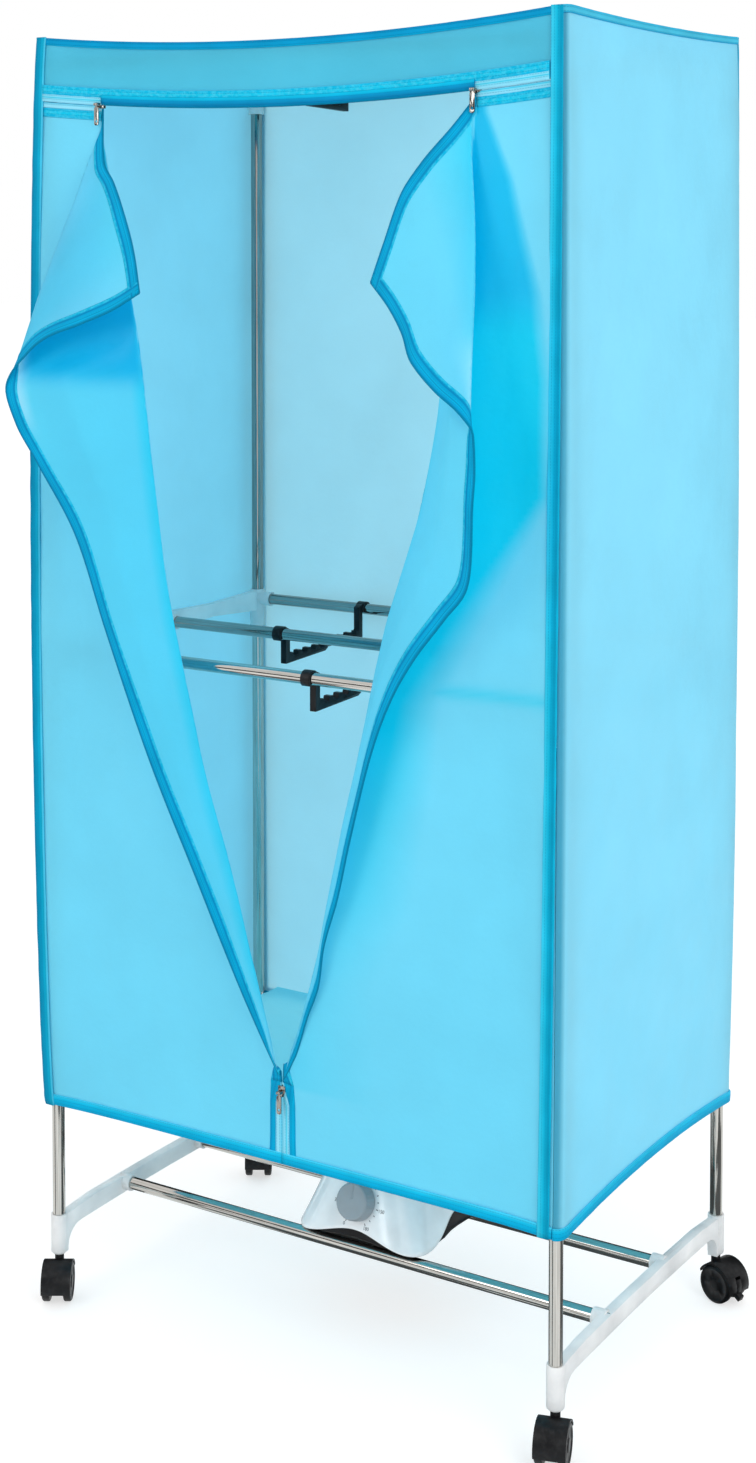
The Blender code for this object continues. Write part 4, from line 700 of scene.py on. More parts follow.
# The door's two halves, folded out above and zipped below. A half runs from its side seam in to the inner fold,
# back out, and above the far point over the outer fold, from the slider to the far point, to the zip edge.
SLIDERS = {-1: (-0.246, -0.2205, 1.412), 1: (0.243, -0.2205, 1.411)}
FAR_POINTS = {-1: 0.189, 1: 0.182}
OUTER_BOW = {-1: (-0.003, -0.004, 0.0), 1: (0.008, -0.006, 0.0)}
INNER_FOLDS = {
    -1: ((0.202, -.157, -.261, 1.135), (0.303, -.145, -.257, 1.022), (0.437, -.128, -.248, .872),
         (0.589, -.092, -.241, .700), (0.757, -.037, -.234, .510), (0.923, -.0015, -.2205, .329)),
    1: ((0.202, .222, -.258, 1.119), (0.303, .198, -.258, 1.002), (0.437, .154, -.254, .864),
        (0.589, .108, -.245, .696), (0.757, .058, -.234, .506), (0.923, .0015, -.2205, .329)),
}
ZIP_EDGES = {
    -1: ((-.134, -.298, 1.207), (-.168, -.303, 1.188), (-.209, -.308, 1.172), (-.254, -.310, 1.157),
         (-.283, -.308, 1.140), (-.322, -.303, 1.093), (-.314, -.296, 1.057), (-.293, -.288, 1.017),
         (-.244, -.276, .931), (-.209, -.268, .828), (-.152, -.260, .681), (-.092, -.252, .551),
         (-.044, -.240, .438), (-.001, -.222, .335)),
    1: ((.155, -.283, 1.221), (.183, -.293, 1.196), (.205, -.303, 1.170), (.222, -.313, 1.142),
        (.254, -.323, 1.116), (.285, -.326, 1.094), (.300, -.326, 1.074), (.300, -.323, 1.039),
        (.295, -.318, 1.006), (.288, -.308, .957), (.277, -.298, .917), (.247, -.293, .881),
        (.208, -.288, .835), (.181, -.283, .795), (.157, -.278, .746), (.116, -.263, .632),
        (.093, -.253, .561), (.071, -.246, .503), (.059, -.238, .457), (.040, -.232, .416),
        (.021, -.226, .369), (.002, -.221, .335)),
}
# Height of a painted shadow of the mid front rod across the right door half
ROD_SHADOW = 0.796
TOP_TAPES = {
    -1: ((-.246, -.2205, 1.412), (-.231, -.238, 1.352), (-.210, -.248, 1.330), (-.188, -.260, 1.301),
         (-.153, -.283, 1.249), (-.134, -.298, 1.207)),
    1: ((.243, -.2205, 1.411), (.223, -.233, 1.381), (.195, -.248, 1.344), (.176, -.258, 1.311),
        (.165, -.273, 1.262), (.155, -.283, 1.221)),
}


# Where the painted shade band on the right half ends: how far out it reaches at each height
RIGHT_SHADE = ((.462, .077), (.557, .134), (.682, .169), (.779, .189), (.867, .242), (.933, .282), (1.005, .329),
               (1.123, .329), (1.211, .318), (1.326, .287), (1.397, .255))


def zip_edge(side, at):
    """The zip edge's points at each share of the way down: as traced above, and straight down where it is closed."""
    line = within_reach(ZIP_EDGES[side])
    run = arc_lengths(line) / DOOR_HEIGHT
    traced = monotone(run, line, np.minimum(at, run[-1]))
    closed = np.array([(side * ZIP_GAP / 2, -COVER_Y, DOOR_TOP - t * DOOR_HEIGHT) for t in at])
    last = np.searchsorted(at, run[-1]) - 1
    share = np.clip((at - at[last]) / (CLOSED_FROM - at[last]), 0, 1)[:, None]
    lower = traced[last] + (closed - traced[last]) * share
    return np.where((at < run[-1])[:, None], traced, np.where((at < CLOSED_FROM)[:, None], lower, closed))


def door_grid(side):
    """The door half as rows down the zip and columns from the side seam to the zip edge, with each point's layer."""
    at = np.linspace(0, 1, 190)
    edges = zip_edge(side, at)
    slider = np.array(SLIDERS[side])
    far_at = FAR_POINTS[side]
    far = edges[np.searchsorted(at, far_at)]
    share = np.minimum(at / far_at, 1)[:, None]
    outer = slider + (far - slider) * share + np.sin(math.pi * share) * np.array(OUTER_BOW[side])
    table = np.array(((0.0, *slider),) + INNER_FOLDS[side])
    inner = monotone(table[:, 0], table[:, 1:], np.minimum(at, CLOSED_FROM))
    rows, layers = [], []
    for i, t in enumerate(at):
        seam = np.array((side * FRONT_X, -COVER_Y, DOOR_TOP - DOOR_HEIGHT * t))
        if t >= CLOSED_FROM:
            path, layer = [seam, edges[i]], [0, 2]
        elif t < far_at:
            bulge = (outer[i] + edges[i]) / 2 - (0, 0.05 * np.linalg.norm(outer[i] - edges[i]), 0)
            path, layer = [seam, inner[i], outer[i], bulge, edges[i]], [0, 1, 2, 2.5, 3]
        else:
            bulge = (inner[i] + edges[i]) / 2 - (0, FLAP_BULGE * np.linalg.norm(inner[i] - edges[i]), 0)
            path, layer = [seam, inner[i], bulge, edges[i]], [0, 1, 1.5, 2]
        run = arc_lengths(np.array(path)) + 1e-7 * np.arange(len(path))
        marks = np.linspace(0, run[-1], 97)
        rows.append(np.stack([np.interp(marks, run, [p[k] for p in path]) for k in range(3)], axis=1))
        layers.append(np.interp(marks, run, layer))
    rows, layers = np.array(rows), np.array(layers)
    tape = np.array(TOP_TAPES[side])
    run = arc_lengths(tape)
    wanted = rows[0].copy()
    lengths = arc_lengths(rows[0])
    first = int(np.searchsorted(lengths, np.linalg.norm(slider - rows[0, 0])))
    open_run = (lengths[first:] - lengths[first]) / (lengths[-1] - lengths[first])
    wanted[first:] = monotone(run, tape, open_run * run[-1])
    for j in range(first + 1):
        x = side * FRONT_X + (wanted[first, 0] - side * FRONT_X) * j / first
        wanted[j] = (x, -COVER_Y, door_top(x))
    fade = eased(np.clip(1 - at / 0.07, 0, 1))
    rows += fade[:, None, None] * (wanted - rows[0])[None]
    rows[0] = wanted
    rows[:, 0, 0] = side * FRONT_X
    rows[:, 0, 1] = -COVER_Y
    return lifted(puffed(relaxed(rows, 12))), at, layers, first


def bump_between(value, low, high, soft):
    """1 between low and high, and 0 away from them by more than soft."""
    rise = np.clip((value - low) / soft + 0.5, 0, 1)
    fall = np.clip((high - value) / soft + 0.5, 0, 1)
    return eased(rise * fall)


def door_tones_and_painted_light(rows, at, layers, side):
    """The door half's colours: its blue, with painted shade where the cloth lies in layers, along the folds, beside the
    zip and in a band on the right half, a painted shadow of the mid rod, and painted highlights by the folds.
    """
    x, z = np.abs(rows[:, :, 0]), rows[:, :, 2]
    folded = layers > 1
    turned = layers > 2
    run = np.array([arc_lengths(row) for row in rows])
    fold_run = np.array([np.interp(1.0, row, line) for row, line in zip(layers, run)])[:, None]
    from_fold = np.abs(run - fold_run)
    open_share = np.clip((0.90 - at[:, None]) / 0.10, 0, 1) + np.zeros_like(layers)
    shade_share = 0.85 * np.exp(-(from_fold / 0.020) ** 2) * open_share * folded
    if side > 0:
        # Painted shade on the right half: a band out to the listed reach at each height, more beside the zip, and the
        # mid rod's shadow
        levels, limits = zip(*RIGHT_SHADE)
        edge = np.interp(z, levels, limits)
        soft = np.interp(z, (0.45, 0.75, 1.0, 1.2, 1.4), (0.09, 0.05, 0.018, 0.016, 0.008))
        band = np.clip((edge - x) / soft + 0.5, 0, 1) * np.interp(z, (0.42, 0.75), (0.25, 1))
        zip_shade = 0.8 * np.exp(-((run[:, -1:] - run) / 0.030) ** 2) * bump_between(z, 0.36, 0.78, 0.10)
        rod_shade = 0.55 * np.exp(-((z - ROD_SHADOW) / 0.007) ** 2) * np.clip((x - 0.13) / 0.05, 0, 1)
        single = np.maximum(np.maximum(band, zip_shade), rod_shade)
        shade_share = np.where(folded, np.maximum(0.5 * shade_share, 0.25 * open_share), single)
        near_outer = np.clip(1 - (layers - 2) / 0.55, 0, 1) * turned
        low_fold = near_outer * bump_between(z, 0.985, 1.09, 0.05) * 0.35
        high_fold = near_outer * np.interp(z, (1.12, 1.18, 1.38), (0.0, 0.55, 0.85))
        shade_share = np.where(turned, np.maximum(high_fold, np.maximum(low_fold, 0.20)), shade_share)
        # Painted highlight along the outer fold
        pale = near_outer * np.interp(z, (1.07, 1.11, 1.14, 1.17), (0, 0.9, 0.8, 0))
        deep_shade_share = 0.8 * bump_between(z, 1.19, 1.42, 0.06) * np.where(folded, 0, band) + 0.5 * zip_shade * ~folded
    else:
        # Painted shade under the upper tape on the left half, where the cloth lies folded
        below = bump_between(z, 1.108, 1.30, 0.035) * bump_between(layers, 1.0, 1.93, 0.12)
        shade_share = np.maximum(shade_share, np.where(folded & ~turned, np.maximum(0.42 * open_share, below), 0))
        deep_shade_share = 0.9 * below * folded * ~turned
        shade_share = np.where(turned, 0.42 * bump_between(layers, 2.15, 2.85, 0.5), shade_share)
        # Painted highlight by the fold on the left half
        pale = bump_between(z, 1.06, 1.13, 0.05) * bump_between(layers, 1.86, 2.2, 0.12) * folded * ~turned
    return blended(blended(blended(FRONT_BLUE, SHADE_BLUE, shade_share), PALE_LIP_AND_HIGHLIGHT_BLUE, pale), DEEP_SHADE_BLUE, deep_shade_share)


def inset_line(rows, distance, from_end=True):
    """A line on the cloth a distance, or one for each row, in from the rows' last, or first, points."""
    line = []
    for row, away in zip(rows, np.broadcast_to(distance, len(rows))):
        walk = row[::-1] if from_end else row
        run = arc_lengths(walk)
        line.append([np.interp(away, run, walk[:, k]) for k in range(3)])
    return np.array(line)


def door_half(side):
    name = "left" if side < 0 else "right"
    rows, at, layers, first = door_grid(side)
    rows = rippled(rows, 0.0024, 0.11, 6.1 * side, (1, 1, 0.5), 5)
    rows = rippled(rows, 0.0005, 0.03, 1.7 * side, (1, 1, 0.4), 3)
    drawn = rows[:, ::-1] if side > 0 else rows
    mesh = grid_mesh("cloth_door_" + name, drawn)
    # The door's blue with its painted shade and highlights, one colour to each point
    tones_and_painted_light = door_tones_and_painted_light(rows, at, layers, side)
    dye(mesh, tones_and_painted_light[:, ::-1] if side > 0 else tones_and_painted_light)
    door = as_piece("cloth_door_" + name, mesh, "cloth", nodes=["cover_door_" + name])
    edge = rows[:, -1]
    closed = int(np.searchsorted(at, CLOSED_FROM))
    widths = np.interp(np.arange(len(rows)), (closed - 14, closed - 6, closed - 1), (TAPE_WIDTH, 0.0060, TAPE_WIDTH))
    made = [strip(f"door_tape_{name}", edge[:closed], inset_line(rows, widths)[:closed], "tape"),
            coil(f"door_teeth_{name}", even_line(edge[:closed], 0.004))]
    made += zipped_edge(f"door_low_{name}", rows[closed - 1:, :], True)
    upper = rows.transpose(1, 0, 2)
    made += zipped_edge(f"door_high_{name}", upper[:first + 1], False)
    hanging = upper[first:]
    made += [strip(f"door_upper_tape_{name}", hanging[:, 0], inset_line(hanging, TAPE_WIDTH, False), "tape"),
             coil(f"door_upper_teeth_{name}", even_line(hanging[:, 0], 0.004))]


def zipped_edge(name, rows, from_end):
    """The pale lip that hides a closed zip, and beyond it the stitched seam, or below the door plain dark tape."""
    near, far = LIP_WIDTH, LIP_WIDTH + SEAM_WIDTH
    if from_end:
        parted = np.clip(np.arange(len(rows)) / 4, 0.03, 1)
        near, far = 0.0080 * parted, TAPE_WIDTH + 0.0015 * parted
    edge, middle, end = (inset_line(rows, distance, from_end) for distance in (0.0, near, far))
    return [strip(name + "_lip", edge, middle, "lip", BINDING_THICK),
            strip(name + "_seam", middle, end, "binding" if from_end else "seam", waves=0.0005)]


# Bindings along the cover's edges


def edge_bindings():
    made = []
    for side, name in ((-1, "left"), (1, "right")):
        levels = np.linspace(0, 1, 170)
        for face, label in ((-1, "front"), (1, "back")):
            outer_x = COVER_X - (0.0035 if side > 0 else 0.0060)
            y = face * (COVER_Y + PROUD)
            top = top_height(outer_x, COVER_Y)
            z = HEM_HEIGHT + (top - HEM_HEIGHT) * levels
            drift = (0.0110 if side > 0 else 0.0) * (1 - levels)
            outer = np.stack([side * (outer_x - drift), np.full_like(z, y), z], axis=1)
            inner = outer - (side * BIND_WIDTH, 0, 0)
            for i in range(len(z)):
                push = 0.0004 * noise.noise(Vector((z[i] * 30, side, face)))
                outer[i, 0] += push
                outer[i, 1] += face * abs(push)
            made.append(strip(f"binding_{label}_{name}", puffed(outer), puffed(inner), "corner_" + name,
                              BINDING_THICK, waves=0.0005, seed=side))
        plan = side_plan(-TOP_PROUD)
        edge = np.array([(side * x, y, top_height(x, y)) for x, y in plan])
        made.append(strip(f"binding_top_{name}", edge, edge - (0, 0, TOP_WIDTH), "side_binding",
                          BINDING_THICK, 0.0006, waves=0.0008, seed=2 * side))
        hem = np.array([(side * x, y, hem_height(y)) for x, y in plan])
        made.append(strip(f"binding_hem_{name}", puffed(hem), puffed(hem + (0, 0, HEM_WIDTH)), "hem",
                          HEM_THICK, waves=0.0004, seed=3 * side))
    columns = np.linspace(-FRONT_X, FRONT_X, 120)
    for face, label in ((-1, "front"), (1, "back")):
        y = face * (COVER_Y + TOP_PROUD)
        edge = np.array([(x, y, top_height(x, COVER_Y)) for x in columns])
        made.append(strip(f"binding_top_{label}", edge, edge - (0, 0, TOP_WIDTH), "top_binding",
                          BINDING_THICK, 0.0006, waves=0.0007, seed=face))
        parts = ((-1, "left"), (1, "right")) if face < 0 else ((0, "middle"),)
        for side, part in parts:
            run = columns if side == 0 else np.linspace(side * FRONT_X, side * 0.0002, 60)
            hem = np.array([(x, y, HEM_HEIGHT) for x in run])
            made.append(strip(f"binding_hem_{label}_{part}", lifted(puffed(hem)),
                              lifted(puffed(hem + (0, 0, HEM_WIDTH))), "hem",
                              HEM_THICK, waves=0.0004, seed=face + side))
    return made


def header_zip():
    """Along the header's lower edge: the zip's coil, smooth tape where it is open, lips where it is closed, a seam."""
    y = -COVER_Y - HEADER_PROUD
    made = []
    seam_at = ZIP_GAP + LIP_WIDTH
    reach = FRONT_X - 0.0080
    for label, start, end in (("left", -reach, SLIDERS[-1][0]), ("open", SLIDERS[-1][0], SLIDERS[1][0]),
                              ("right", SLIDERS[1][0], reach)):
        columns = np.linspace(start, end, max(12, round((end - start) / 0.004)))
        line = puffed([(x, y, door_top(x)) for x in columns])
        wide, finish, proud, low = 0.0, "lip", 0.0, 0.0012
        if label == "open":
            wide, finish, proud, low = 0.0030, "smooth", 0.0006, ZIP_GAP
        made.append(strip("header_edge_" + label, line + (0, -proud, low), line + (0, -proud, seam_at + wide),
                          finish, EDGE_THICK))
    columns = np.linspace(-reach, reach, 170)
    line = puffed([(x, y, door_top(x)) for x in columns])
    made.append(strip("header_seam", line + (0, 0, seam_at), line + (0, 0, seam_at + SEAM_WIDTH), "seam",
                      waves=0.0004))
    made.append(coil("header_teeth", line[np.abs(columns) < 0.25] + (0, 0.0005, ZIP_GAP - 0.0006), radius=0.0017))
    return made


# Rigid pieces


def turned_rows(profile, sides, axis="Z"):
    """Rings of points round an axis, from (radius, height) pairs."""
    angles = [math.tau * j / sides for j in range(sides)]
    rows = np.array([[(radius * math.cos(a), radius * math.sin(a), height) for a in angles]
                     for radius, height in profile])
    return rows if axis == "Z" else rows[..., [2, 0, 1]]


def tube(node, axis, radius, finish="tube"):
    """A smooth drawn tube with rolled ends in the place of the frame's faceted one."""
    low, high = (np.array(v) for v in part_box(node))
    k = 0 if axis == "X" else 2
    middle = (low + high) / 2
    half = (high[k] - low[k]) / 2
    soft, inner = 0.0004, radius - TUBE_WALL
    end = [(inner, -half + soft), (inner + soft / 2, -half), (radius - soft, -half), (radius, -half + soft)]
    profile = end + [(radius, half * t) for t in np.linspace(-0.95, 0.95, 21)] + [(r, -z) for r, z in end[::-1]]
    rows = turned_rows(profile + [profile[0]], 40, axis) + middle - STAND
    mesh = grid_mesh(node + "_tube", rows, closed=True)
    weld(mesh)
    return as_piece(node + "_tube", mesh, finish, nodes=[node])


def refined(node, finish, soft, reshape=None):
    """A frame piece with its sharp edges rounded off and its turned faces smooth."""
    source = frame["nodes"][node]
    bm = bmesh.new()
    bm.from_mesh(source.data)
    if reshape:
        for v in bm.verts:
            reshape(v.co)
    bmesh.ops.remove_doubles(bm, verts=bm.verts, dist=1e-5)
    bmesh.ops.dissolve_limit(bm, angle_limit=math.radians(0.6), verts=bm.verts, edges=bm.edges)
    mesh = bpy.data.meshes.new(node + "_finished")
    bm.to_mesh(mesh)
    bm.free()
    smooth_all(mesh)
    item = as_piece(node + "_finished", mesh, finish, source["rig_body"], [node])
    rounding = item.modifiers.new("Rounding", "BEVEL")
    rounding.width = soft
    rounding.segments = 2
    rounding.limit_method = "ANGLE"
    rounding.angle_limit = math.radians(38)
    rounding.harden_normals = True


def settle_base(spot):
    """The base sits down on the front tube, and its front saddles end behind the tube's near side."""
    if spot.y < 0.03 and SADDLE_BAND[0] < spot.z < SADDLE_BAND[1]:
        spot.z -= SADDLE_DROP
    if spot.z < 0.1060:
        spot.y = max(spot.y, SADDLE_FRONT)


def clear_floor(spot):
    spot.z = max(spot.z, HOOD_CLEARANCE)


def heater_shell():
    """The heater's flared white shell, drawn smooth, with a rounded lower edge."""
    sides = 144
    angles = [math.tau * i / sides for i in range(sides)]
    lows = [HEATER_LOW + (0.026 * math.cos(a) ** 2 + 0.016 * math.sin(a) ** 2) * math.cos(2 * a) ** 2 for a in angles]

    def ring(up, inset):
        row = []
        power = 2 + 2 * (1 - up) ** 1.5
        for a, low in zip(angles, lows):
            z = low + (HEATER_TOP - low) * up
            reach = (heater_half(z) - inset) / (abs(math.cos(a)) ** power + abs(math.sin(a)) ** power) ** (1 / power)
            row.append((HEATER[0] + reach * math.cos(a), HEATER[1] + reach * math.sin(a), z))
        return row

    ups = list(np.linspace(0, 1, 34))
    rows = [ring(0, HEATER_WALL / 2), ring(0, HEATER_WALL * 0.2), ring(0.004, 0)] + [ring(up, 0) for up in ups[1:-1]]
    rows += [ring(0.996, 0), ring(1, HEATER_WALL * 0.25), ring(1, HEATER_WALL * 0.75), ring(0.996, HEATER_WALL)]
    rows += [ring(up, HEATER_WALL) for up in ups[-2:0:-1]]
    rows += [ring(0.004, HEATER_WALL), ring(0, HEATER_WALL * 0.8), ring(0, HEATER_WALL / 2)]
    mesh = grid_mesh("heater_shell_finished", rows, closed=True)
    weld(mesh)
    return as_piece("heater_shell_finished", mesh, "shell", nodes=["heater_shell"])


def knob_frame():
    """The knob's axis: its place on the shell and the turn that faces it out of the sloped front."""
    spread = (HEATER_HALF_LOW - HEATER_HALF_TOP) / (HEATER_TOP - HEATER_LOW)
    slope = math.atan(spread * 1.6 * heater_rise(KNOB_HEIGHT) ** 0.6)
    place = Vector((HEATER[0] + STAND[0], HEATER[1] - heater_half(KNOB_HEIGHT) + STAND[1], KNOB_HEIGHT))
    return Matrix.Translation(place) @ Matrix.Rotation(math.pi / 2 - slope, 4, "X")


def timer_knob():
    """The grey dial: fluted side, rounded face and a pointer groove."""
    low, high, radius = 0.0012, 0.0182, 0.022
    sides = 144
    profile = [(0.003, low - 0.011), (0.003, low), (radius - 0.0006, low), (radius, low + 0.0006),
               (radius, low + 0.004), (radius - 0.0010, low + 0.0125), (radius - 0.0014, high - 0.0016),
               (radius - 0.0020, high - 0.0006), (radius - 0.0032, high), (radius - 0.0046, high - 0.0003),
               (0.012, high - 0.0008), (0.004, high - 0.0008)]
    rows = []
    for n, (r, z) in enumerate(profile):
        row = []
        for j in range(sides):
            a = math.tau * j / sides
            flute = 0.00022 * math.cos(36 * a) if 3 < n < 7 else 0.0
            dip = 0.0007 if n > 7 and abs(math.remainder(a - math.pi / 2, math.tau)) * r < 0.0009 else 0.0
            row.append(((r + flute) * math.cos(a), (r + flute) * math.sin(a), z - dip))
        rows.append(row)
    mesh = grid_mesh("timer_knob_finished", np.array(rows) - STAND, closed=True)
    close_ends(mesh, sides)
    mesh.transform(knob_frame())
    return as_piece("timer_knob_finished", mesh, "grey", "knob", ["timer_knob"])


def shell_point(x, z, proud=0.0):
    """A point on the shell's sloped front, in the stand's own frame."""
    low_at = HEATER_LOW + 0.016
    up = min(1, max(0, (z - low_at) / (HEATER_TOP - low_at)))
    power = 2 + 2 * (1 - up) ** 1.5
    half = heater_half(z)
    y = -(max(0.0, half ** power - abs(x) ** power)) ** (1 / power)
    return np.array([HEATER[0] + x, HEATER[1] + y - proud, z])


def dial_marks():
    """Printed ticks round the knob, with plain minute numbers beside every third."""
    turn = knob_frame()
    centre = turn.translation
    made = bmesh.new()

    def onto_shell(x, z):
        place = shell_point(x - HEATER[0] - STAND[0], z)
        return Vector(place + STAND) + Vector((0, -0.00012, 0))

    def patch(outline):
        spots = [onto_shell(centre.x + dx, centre.z + dz) for dx, dz in outline]
        front = [made.verts.new(p) for p in spots]
        back = [made.verts.new(p + Vector((0, 0.00035, 0))) for p in spots]
        made.faces.new(front)
        made.faces.new(back[::-1])
        for i in range(len(spots)):
            k = (i + 1) % len(spots)
            made.faces.new((front[k], front[i], back[i], back[k]))

    for i in range(19):
        a = math.radians(240 - i * 300 / 18)
        inner, outer = 0.0243, 0.0262 if i % 3 else 0.0270
        half = 0.00045
        way, side = (math.cos(a), math.sin(a)), (-math.sin(a), math.cos(a))
        patch([(way[0] * r + side[0] * s * half, way[1] * r + side[1] * s * half)
               for r, s in ((inner, -1), (outer, -1), (outer, 1), (inner, 1))])
    bmesh.ops.recalc_face_normals(made, faces=made.faces)
    mesh = bpy.data.meshes.new("dial_ticks")
    made.to_mesh(mesh)
    made.free()
    as_piece("dial_ticks", mesh, "print")
    for k, label in enumerate(("0", "30", "60", "90", "120", "150", "180")):
        a = math.radians(240 - k * 50)
        text = bpy.data.curves.new("number", "FONT")
        text.body, text.size, text.align_x, text.align_y = label, 0.0052, "CENTER", "CENTER"
        text.extrude = 0.0001
        drawn = bpy.data.objects.new("number", text)
        bpy.context.scene.collection.objects.link(drawn)
        bpy.context.view_layer.update()
        flat = bpy.data.meshes.new_from_object(drawn.evaluated_get(bpy.context.evaluated_depsgraph_get()))
        bpy.data.objects.remove(drawn)
        reach = 0.0300 if k in (0, 6) else 0.0312
        for v in flat.vertices:
            x, z = centre.x + reach * math.cos(a) + v.co.x, centre.z + reach * math.sin(a) + v.co.y
            spot = onto_shell(x, z)
            v.co = spot + Vector((0, 0.0001 - v.co.z, 0))
        flat.materials.clear()
        as_piece("dial_number_" + label, flat, "print")


def castor_wheels(node, name):
    """A pair of smooth wheels with rounded treads, a dished face, a hub cap and shallow spokes."""
    source = frame["nodes"][node]
    spots = np.array([v.co for v in source.data.vertices])
    middle = (spots.min(0) + spots.max(0)) / 2
    heading = math.radians(CASTOR_HEADINGS[name] + 90)
    middle[2] = 0.0225 * math.cos(math.pi / 20)
    inner, outer, radius = 0.0082, 0.0173, 0.0222
    half = [(0.002, 0.0), (0.002, inner), (radius - 0.0014, inner), (radius - 0.0004, inner + 0.0005),
            (radius, inner + 0.0016), (radius, outer - 0.0022), (radius - 0.0005, outer - 0.0010),
            (radius - 0.0016, outer - 0.0001), (radius - 0.0030, outer), (radius - 0.0042, outer - 0.0002),
            (radius - 0.0048, outer - 0.0012), (0.0125, outer - 0.0015), (0.0078, outer - 0.0013),
            (0.0072, outer - 0.0004), (0.0064, outer - 0.0001), (0.0030, outer)]
    profile = [(r, -x) for r, x in half[::-1]] + half[1:]
    sides = 72
    rows = turned_rows(profile, sides, "X")
    for n, (r, x) in enumerate(profile):
        if abs(r - 0.0125) < 1e-6:
            for j in range(sides):
                lift = 0.0009 * max(0.0, math.cos(5 * math.tau * j / sides)) ** 2
                rows[n, j, 0] += math.copysign(lift, x)
    mesh = grid_mesh(node + "_finished", rows - STAND, closed=True)
    close_ends(mesh, sides)
    place = Matrix.Translation(Vector(middle)) @ Matrix.Rotation(heading, 4, "Z")
    mesh.transform(place)
    as_piece(node + "_finished", mesh, "black", "wheels_" + name, [node])
    mesh.materials.append(FINISHES["tread"])
    back = place.inverted()
    for face in mesh.polygons:
        spot = back @ face.center
        if math.hypot(spot.y, spot.z) > radius - 0.0022:
            face.material_index = 1


# Lamps, floor and camera. The flags are dark cards that only gloss sees, so that the steel has something to mirror:
# a name, heading, width in degrees, distance from the middle, and lower and upper edge.

FLAG_TONE, FLOOR_FLAG_TONE = 0.03, 0.14
UPRIGHT_FLAGS = (
    ("flag_157", 157, 70, 3.2, (0.02, 3.2)), ("flag_272", 272, 26, 3.2, (0.02, 3.2)),
    ("flag_356", 356, 24, 3.2, (0.02, 3.2)), ("flag_92", 92, 56, 3.2, (0.02, 3.2)),
    ("flag_low", 238, 26, 3.4, (0.55, 1.45)),
)


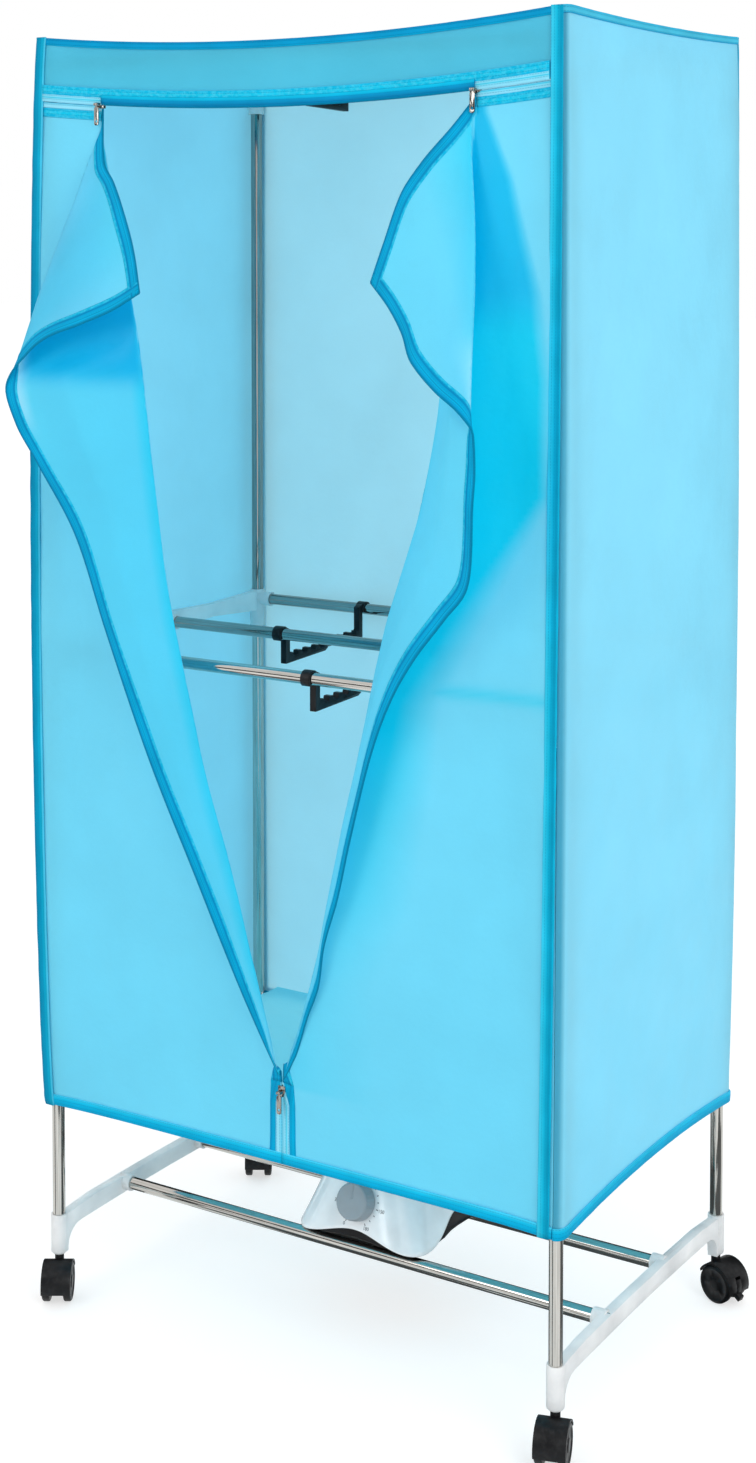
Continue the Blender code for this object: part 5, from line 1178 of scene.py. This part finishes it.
def stage():
    scene = bpy.context.scene
    scene.world = bpy.data.worlds.new("white_room")
    room = Finish("white_room", scene.world)
    plain = room.add("Background", Color=(1, 1, 1, 1), Strength=1.0).outputs[0]
    soft = room.add("Background", Color=(1, 1, 1, 1), Strength=0.90).outputs[0]
    room.done(room.blend(room.seen_rays(), soft, plain), "OutputWorld")

    floor = Finish("pale_floor")
    shown = floor.seen_rays()
    grain = floor.ramp(floor.noise(floor.coordinates("Object"), 6, 3), 0.3, 0.7, 0.80, 0.83)
    matt = floor.add("BsdfDiffuse", Color=floor.add("CombineColor", _0=grain, _1=grain, _2=grain).outputs[0])
    lit = floor.add("BsdfDiffuse", Color=(0.50, 0.50, 0.50, 1))
    glow = floor.add("Emission", Color=(1, 1, 1, 1), Strength=0.60)
    white = floor.add("AddShader", _0=lit.outputs[0], _1=glow.outputs[0])
    ground_finish = floor.done(floor.blend(shown, matt.outputs[0], white.outputs[0]))
    mesh = bpy.data.meshes.new("floor")
    mesh.from_pydata([(-30, -30, 0), (30, -30, 0), (30, 30, 0), (-30, 30, 0)], [], [(0, 1, 2, 3)])
    mesh.materials.append(ground_finish)
    ground = bpy.data.objects.new("floor", mesh)
    scene.collection.objects.link(ground)

    def softbox(name, place, target, size, power):
        lamp = bpy.data.lights.new(name, "AREA")
        lamp.shape, lamp.size, lamp.size_y, lamp.energy = "RECTANGLE", size[0], size[1], power
        item = bpy.data.objects.new(name, lamp)
        item.location = place
        item.rotation_euler = (Vector(target) - Vector(place)).to_track_quat("-Z", "Y").to_euler()
        scene.collection.objects.link(item)

    softbox("softbox_right", (3.4, -1.6, 2.6), (0, 0, 0.8), (1.6, 2.6), 52)
    softbox("softbox_front", (-1.4, -4.2, 2.4), (0, 0, 0.8), (1.8, 2.6), 43)
    cards = {}
    for tone in (FLAG_TONE, FLOOR_FLAG_TONE):
        card = Finish("card")
        cards[tone] = card.done(card.add("BsdfDiffuse", Color=(tone, tone, tone, 1)).outputs[0])

    def flag(name, spots, faces, tone=FLAG_TONE):
        card = bpy.data.meshes.new(name)
        card.from_pydata(spots, [], faces)
        card.materials.append(cards[tone])
        item = bpy.data.objects.new(name, card)
        item.visible_camera = item.visible_diffuse = item.visible_shadow = item.visible_transmission = False
        scene.collection.objects.link(item)

    for name, heading, spread, away, levels in UPRIGHT_FLAGS:
        turns = [math.radians(heading + spread * (i / 8 - 0.5)) for i in range(9)]
        flag(name, [(away * math.cos(a), away * math.sin(a), z) for a in turns for z in levels],
             [(2 * i, 2 * i + 2, 2 * i + 3, 2 * i + 1) for i in range(8)])
    for number, (near, far) in enumerate(((-0.19, -0.10), (-0.03, 0.02), (0.125, 0.17))):
        spots = [(-0.30, near, 0.003), (0.28, near, 0.003), (0.28, far, 0.003), (-0.30, far, 0.003)]
        flag(f"floor_flag_{number}", spots, [(0, 1, 2, 3)], FLOOR_FLAG_TONE)
    for side in (-1, 1):
        foot = (STAND[0] + side * HALF_X, STAND[1] - HALF_Y)
        for heading, spread in ((242, 16), (20, 20), (122, 44)):
            ends = [math.radians(heading + half * spread / 2) for half in (-1, 1)]
            spots = [(foot[0] + r * math.cos(a), foot[1] + r * math.sin(a), 0.004) for r in (0.10, 1.3) for a in ends]
            flag(f"post_flag_{side}_{heading}", spots, [(0, 1, 3, 2)], FLOOR_FLAG_TONE)

    lens = bpy.data.cameras.new("photo_camera")
    lens.sensor_width, lens.lens, lens.shift_y = 36, 54.08, -0.26
    eye = bpy.data.objects.new("photo_camera", lens)
    eye.location = EYE + STAND
    eye.rotation_euler = (math.radians(90 - 2.92), 0, math.radians(32.03))
    scene.collection.objects.link(eye)
    scene.camera = eye
    scene.view_settings.view_transform = "Standard"


stage()

for row in ("front", "back"):
    for side in ("left", "right"):
        tube(f"lower_post_{row}_{side}", "Z", TUBE)
        tube(f"upper_post_{row}_{side}", "Z", TUBE, "shaded_tube")
    tube("cross_tube_" + row, "X", TUBE)
for tier in ("mid", "top"):
    for row in ("front", "middle", "back"):
        tube(f"{tier}_rod_{row}", "X", ROD, "tube" if row == "front" else "shaded_tube")

for side in ("left", "right"):
    refined("leg_" + side, "white", 0.0009)
    for tier in ("mid", "top"):
        refined(f"{tier}_bar_{side}", "white", 0.0007)
for hook in ("front", "middle", "back", "top"):
    refined("hook_" + hook, "black", 0.0006)
for place in ("left", "right", "lower"):
    refined("zip_slider_" + place, "zinc", 0.00025)
    refined("zip_pull_" + place, "zinc", 0.00025)
for name in CASTOR_HEADINGS:
    refined("castor_hood_" + name, "black", 0.0004, reshape=clear_floor)
    refined("castor_stem_" + name, "zinc", 0.0003)
    castor_wheels("castor_wheels_" + name, name)
refined("castor_brake_back_right", "black", 0.0004)
refined("heater_base", "black", 0.0005, reshape=settle_base)
refined("heater_grille", "black", 0.0004)
refined("heater_element", "ceramic", 0.0004)
refined("heater_fan", "black", 0.0003)
refined("heater_motor", "motor", 0.0004)
refined("heater_timer", "white", 0.0006)
heater_shell()
timer_knob()
dial_marks()

right_wall, left_wall = side_wall(1), side_wall(-1)
rear_wall, roof, header, bottom = back_wall(), top_sheet(), header_sheet(), floor_sheet()
door_half(-1)
door_half(1)
named = {item.name: item for item in edge_bindings()}
zip_parts = header_zip()
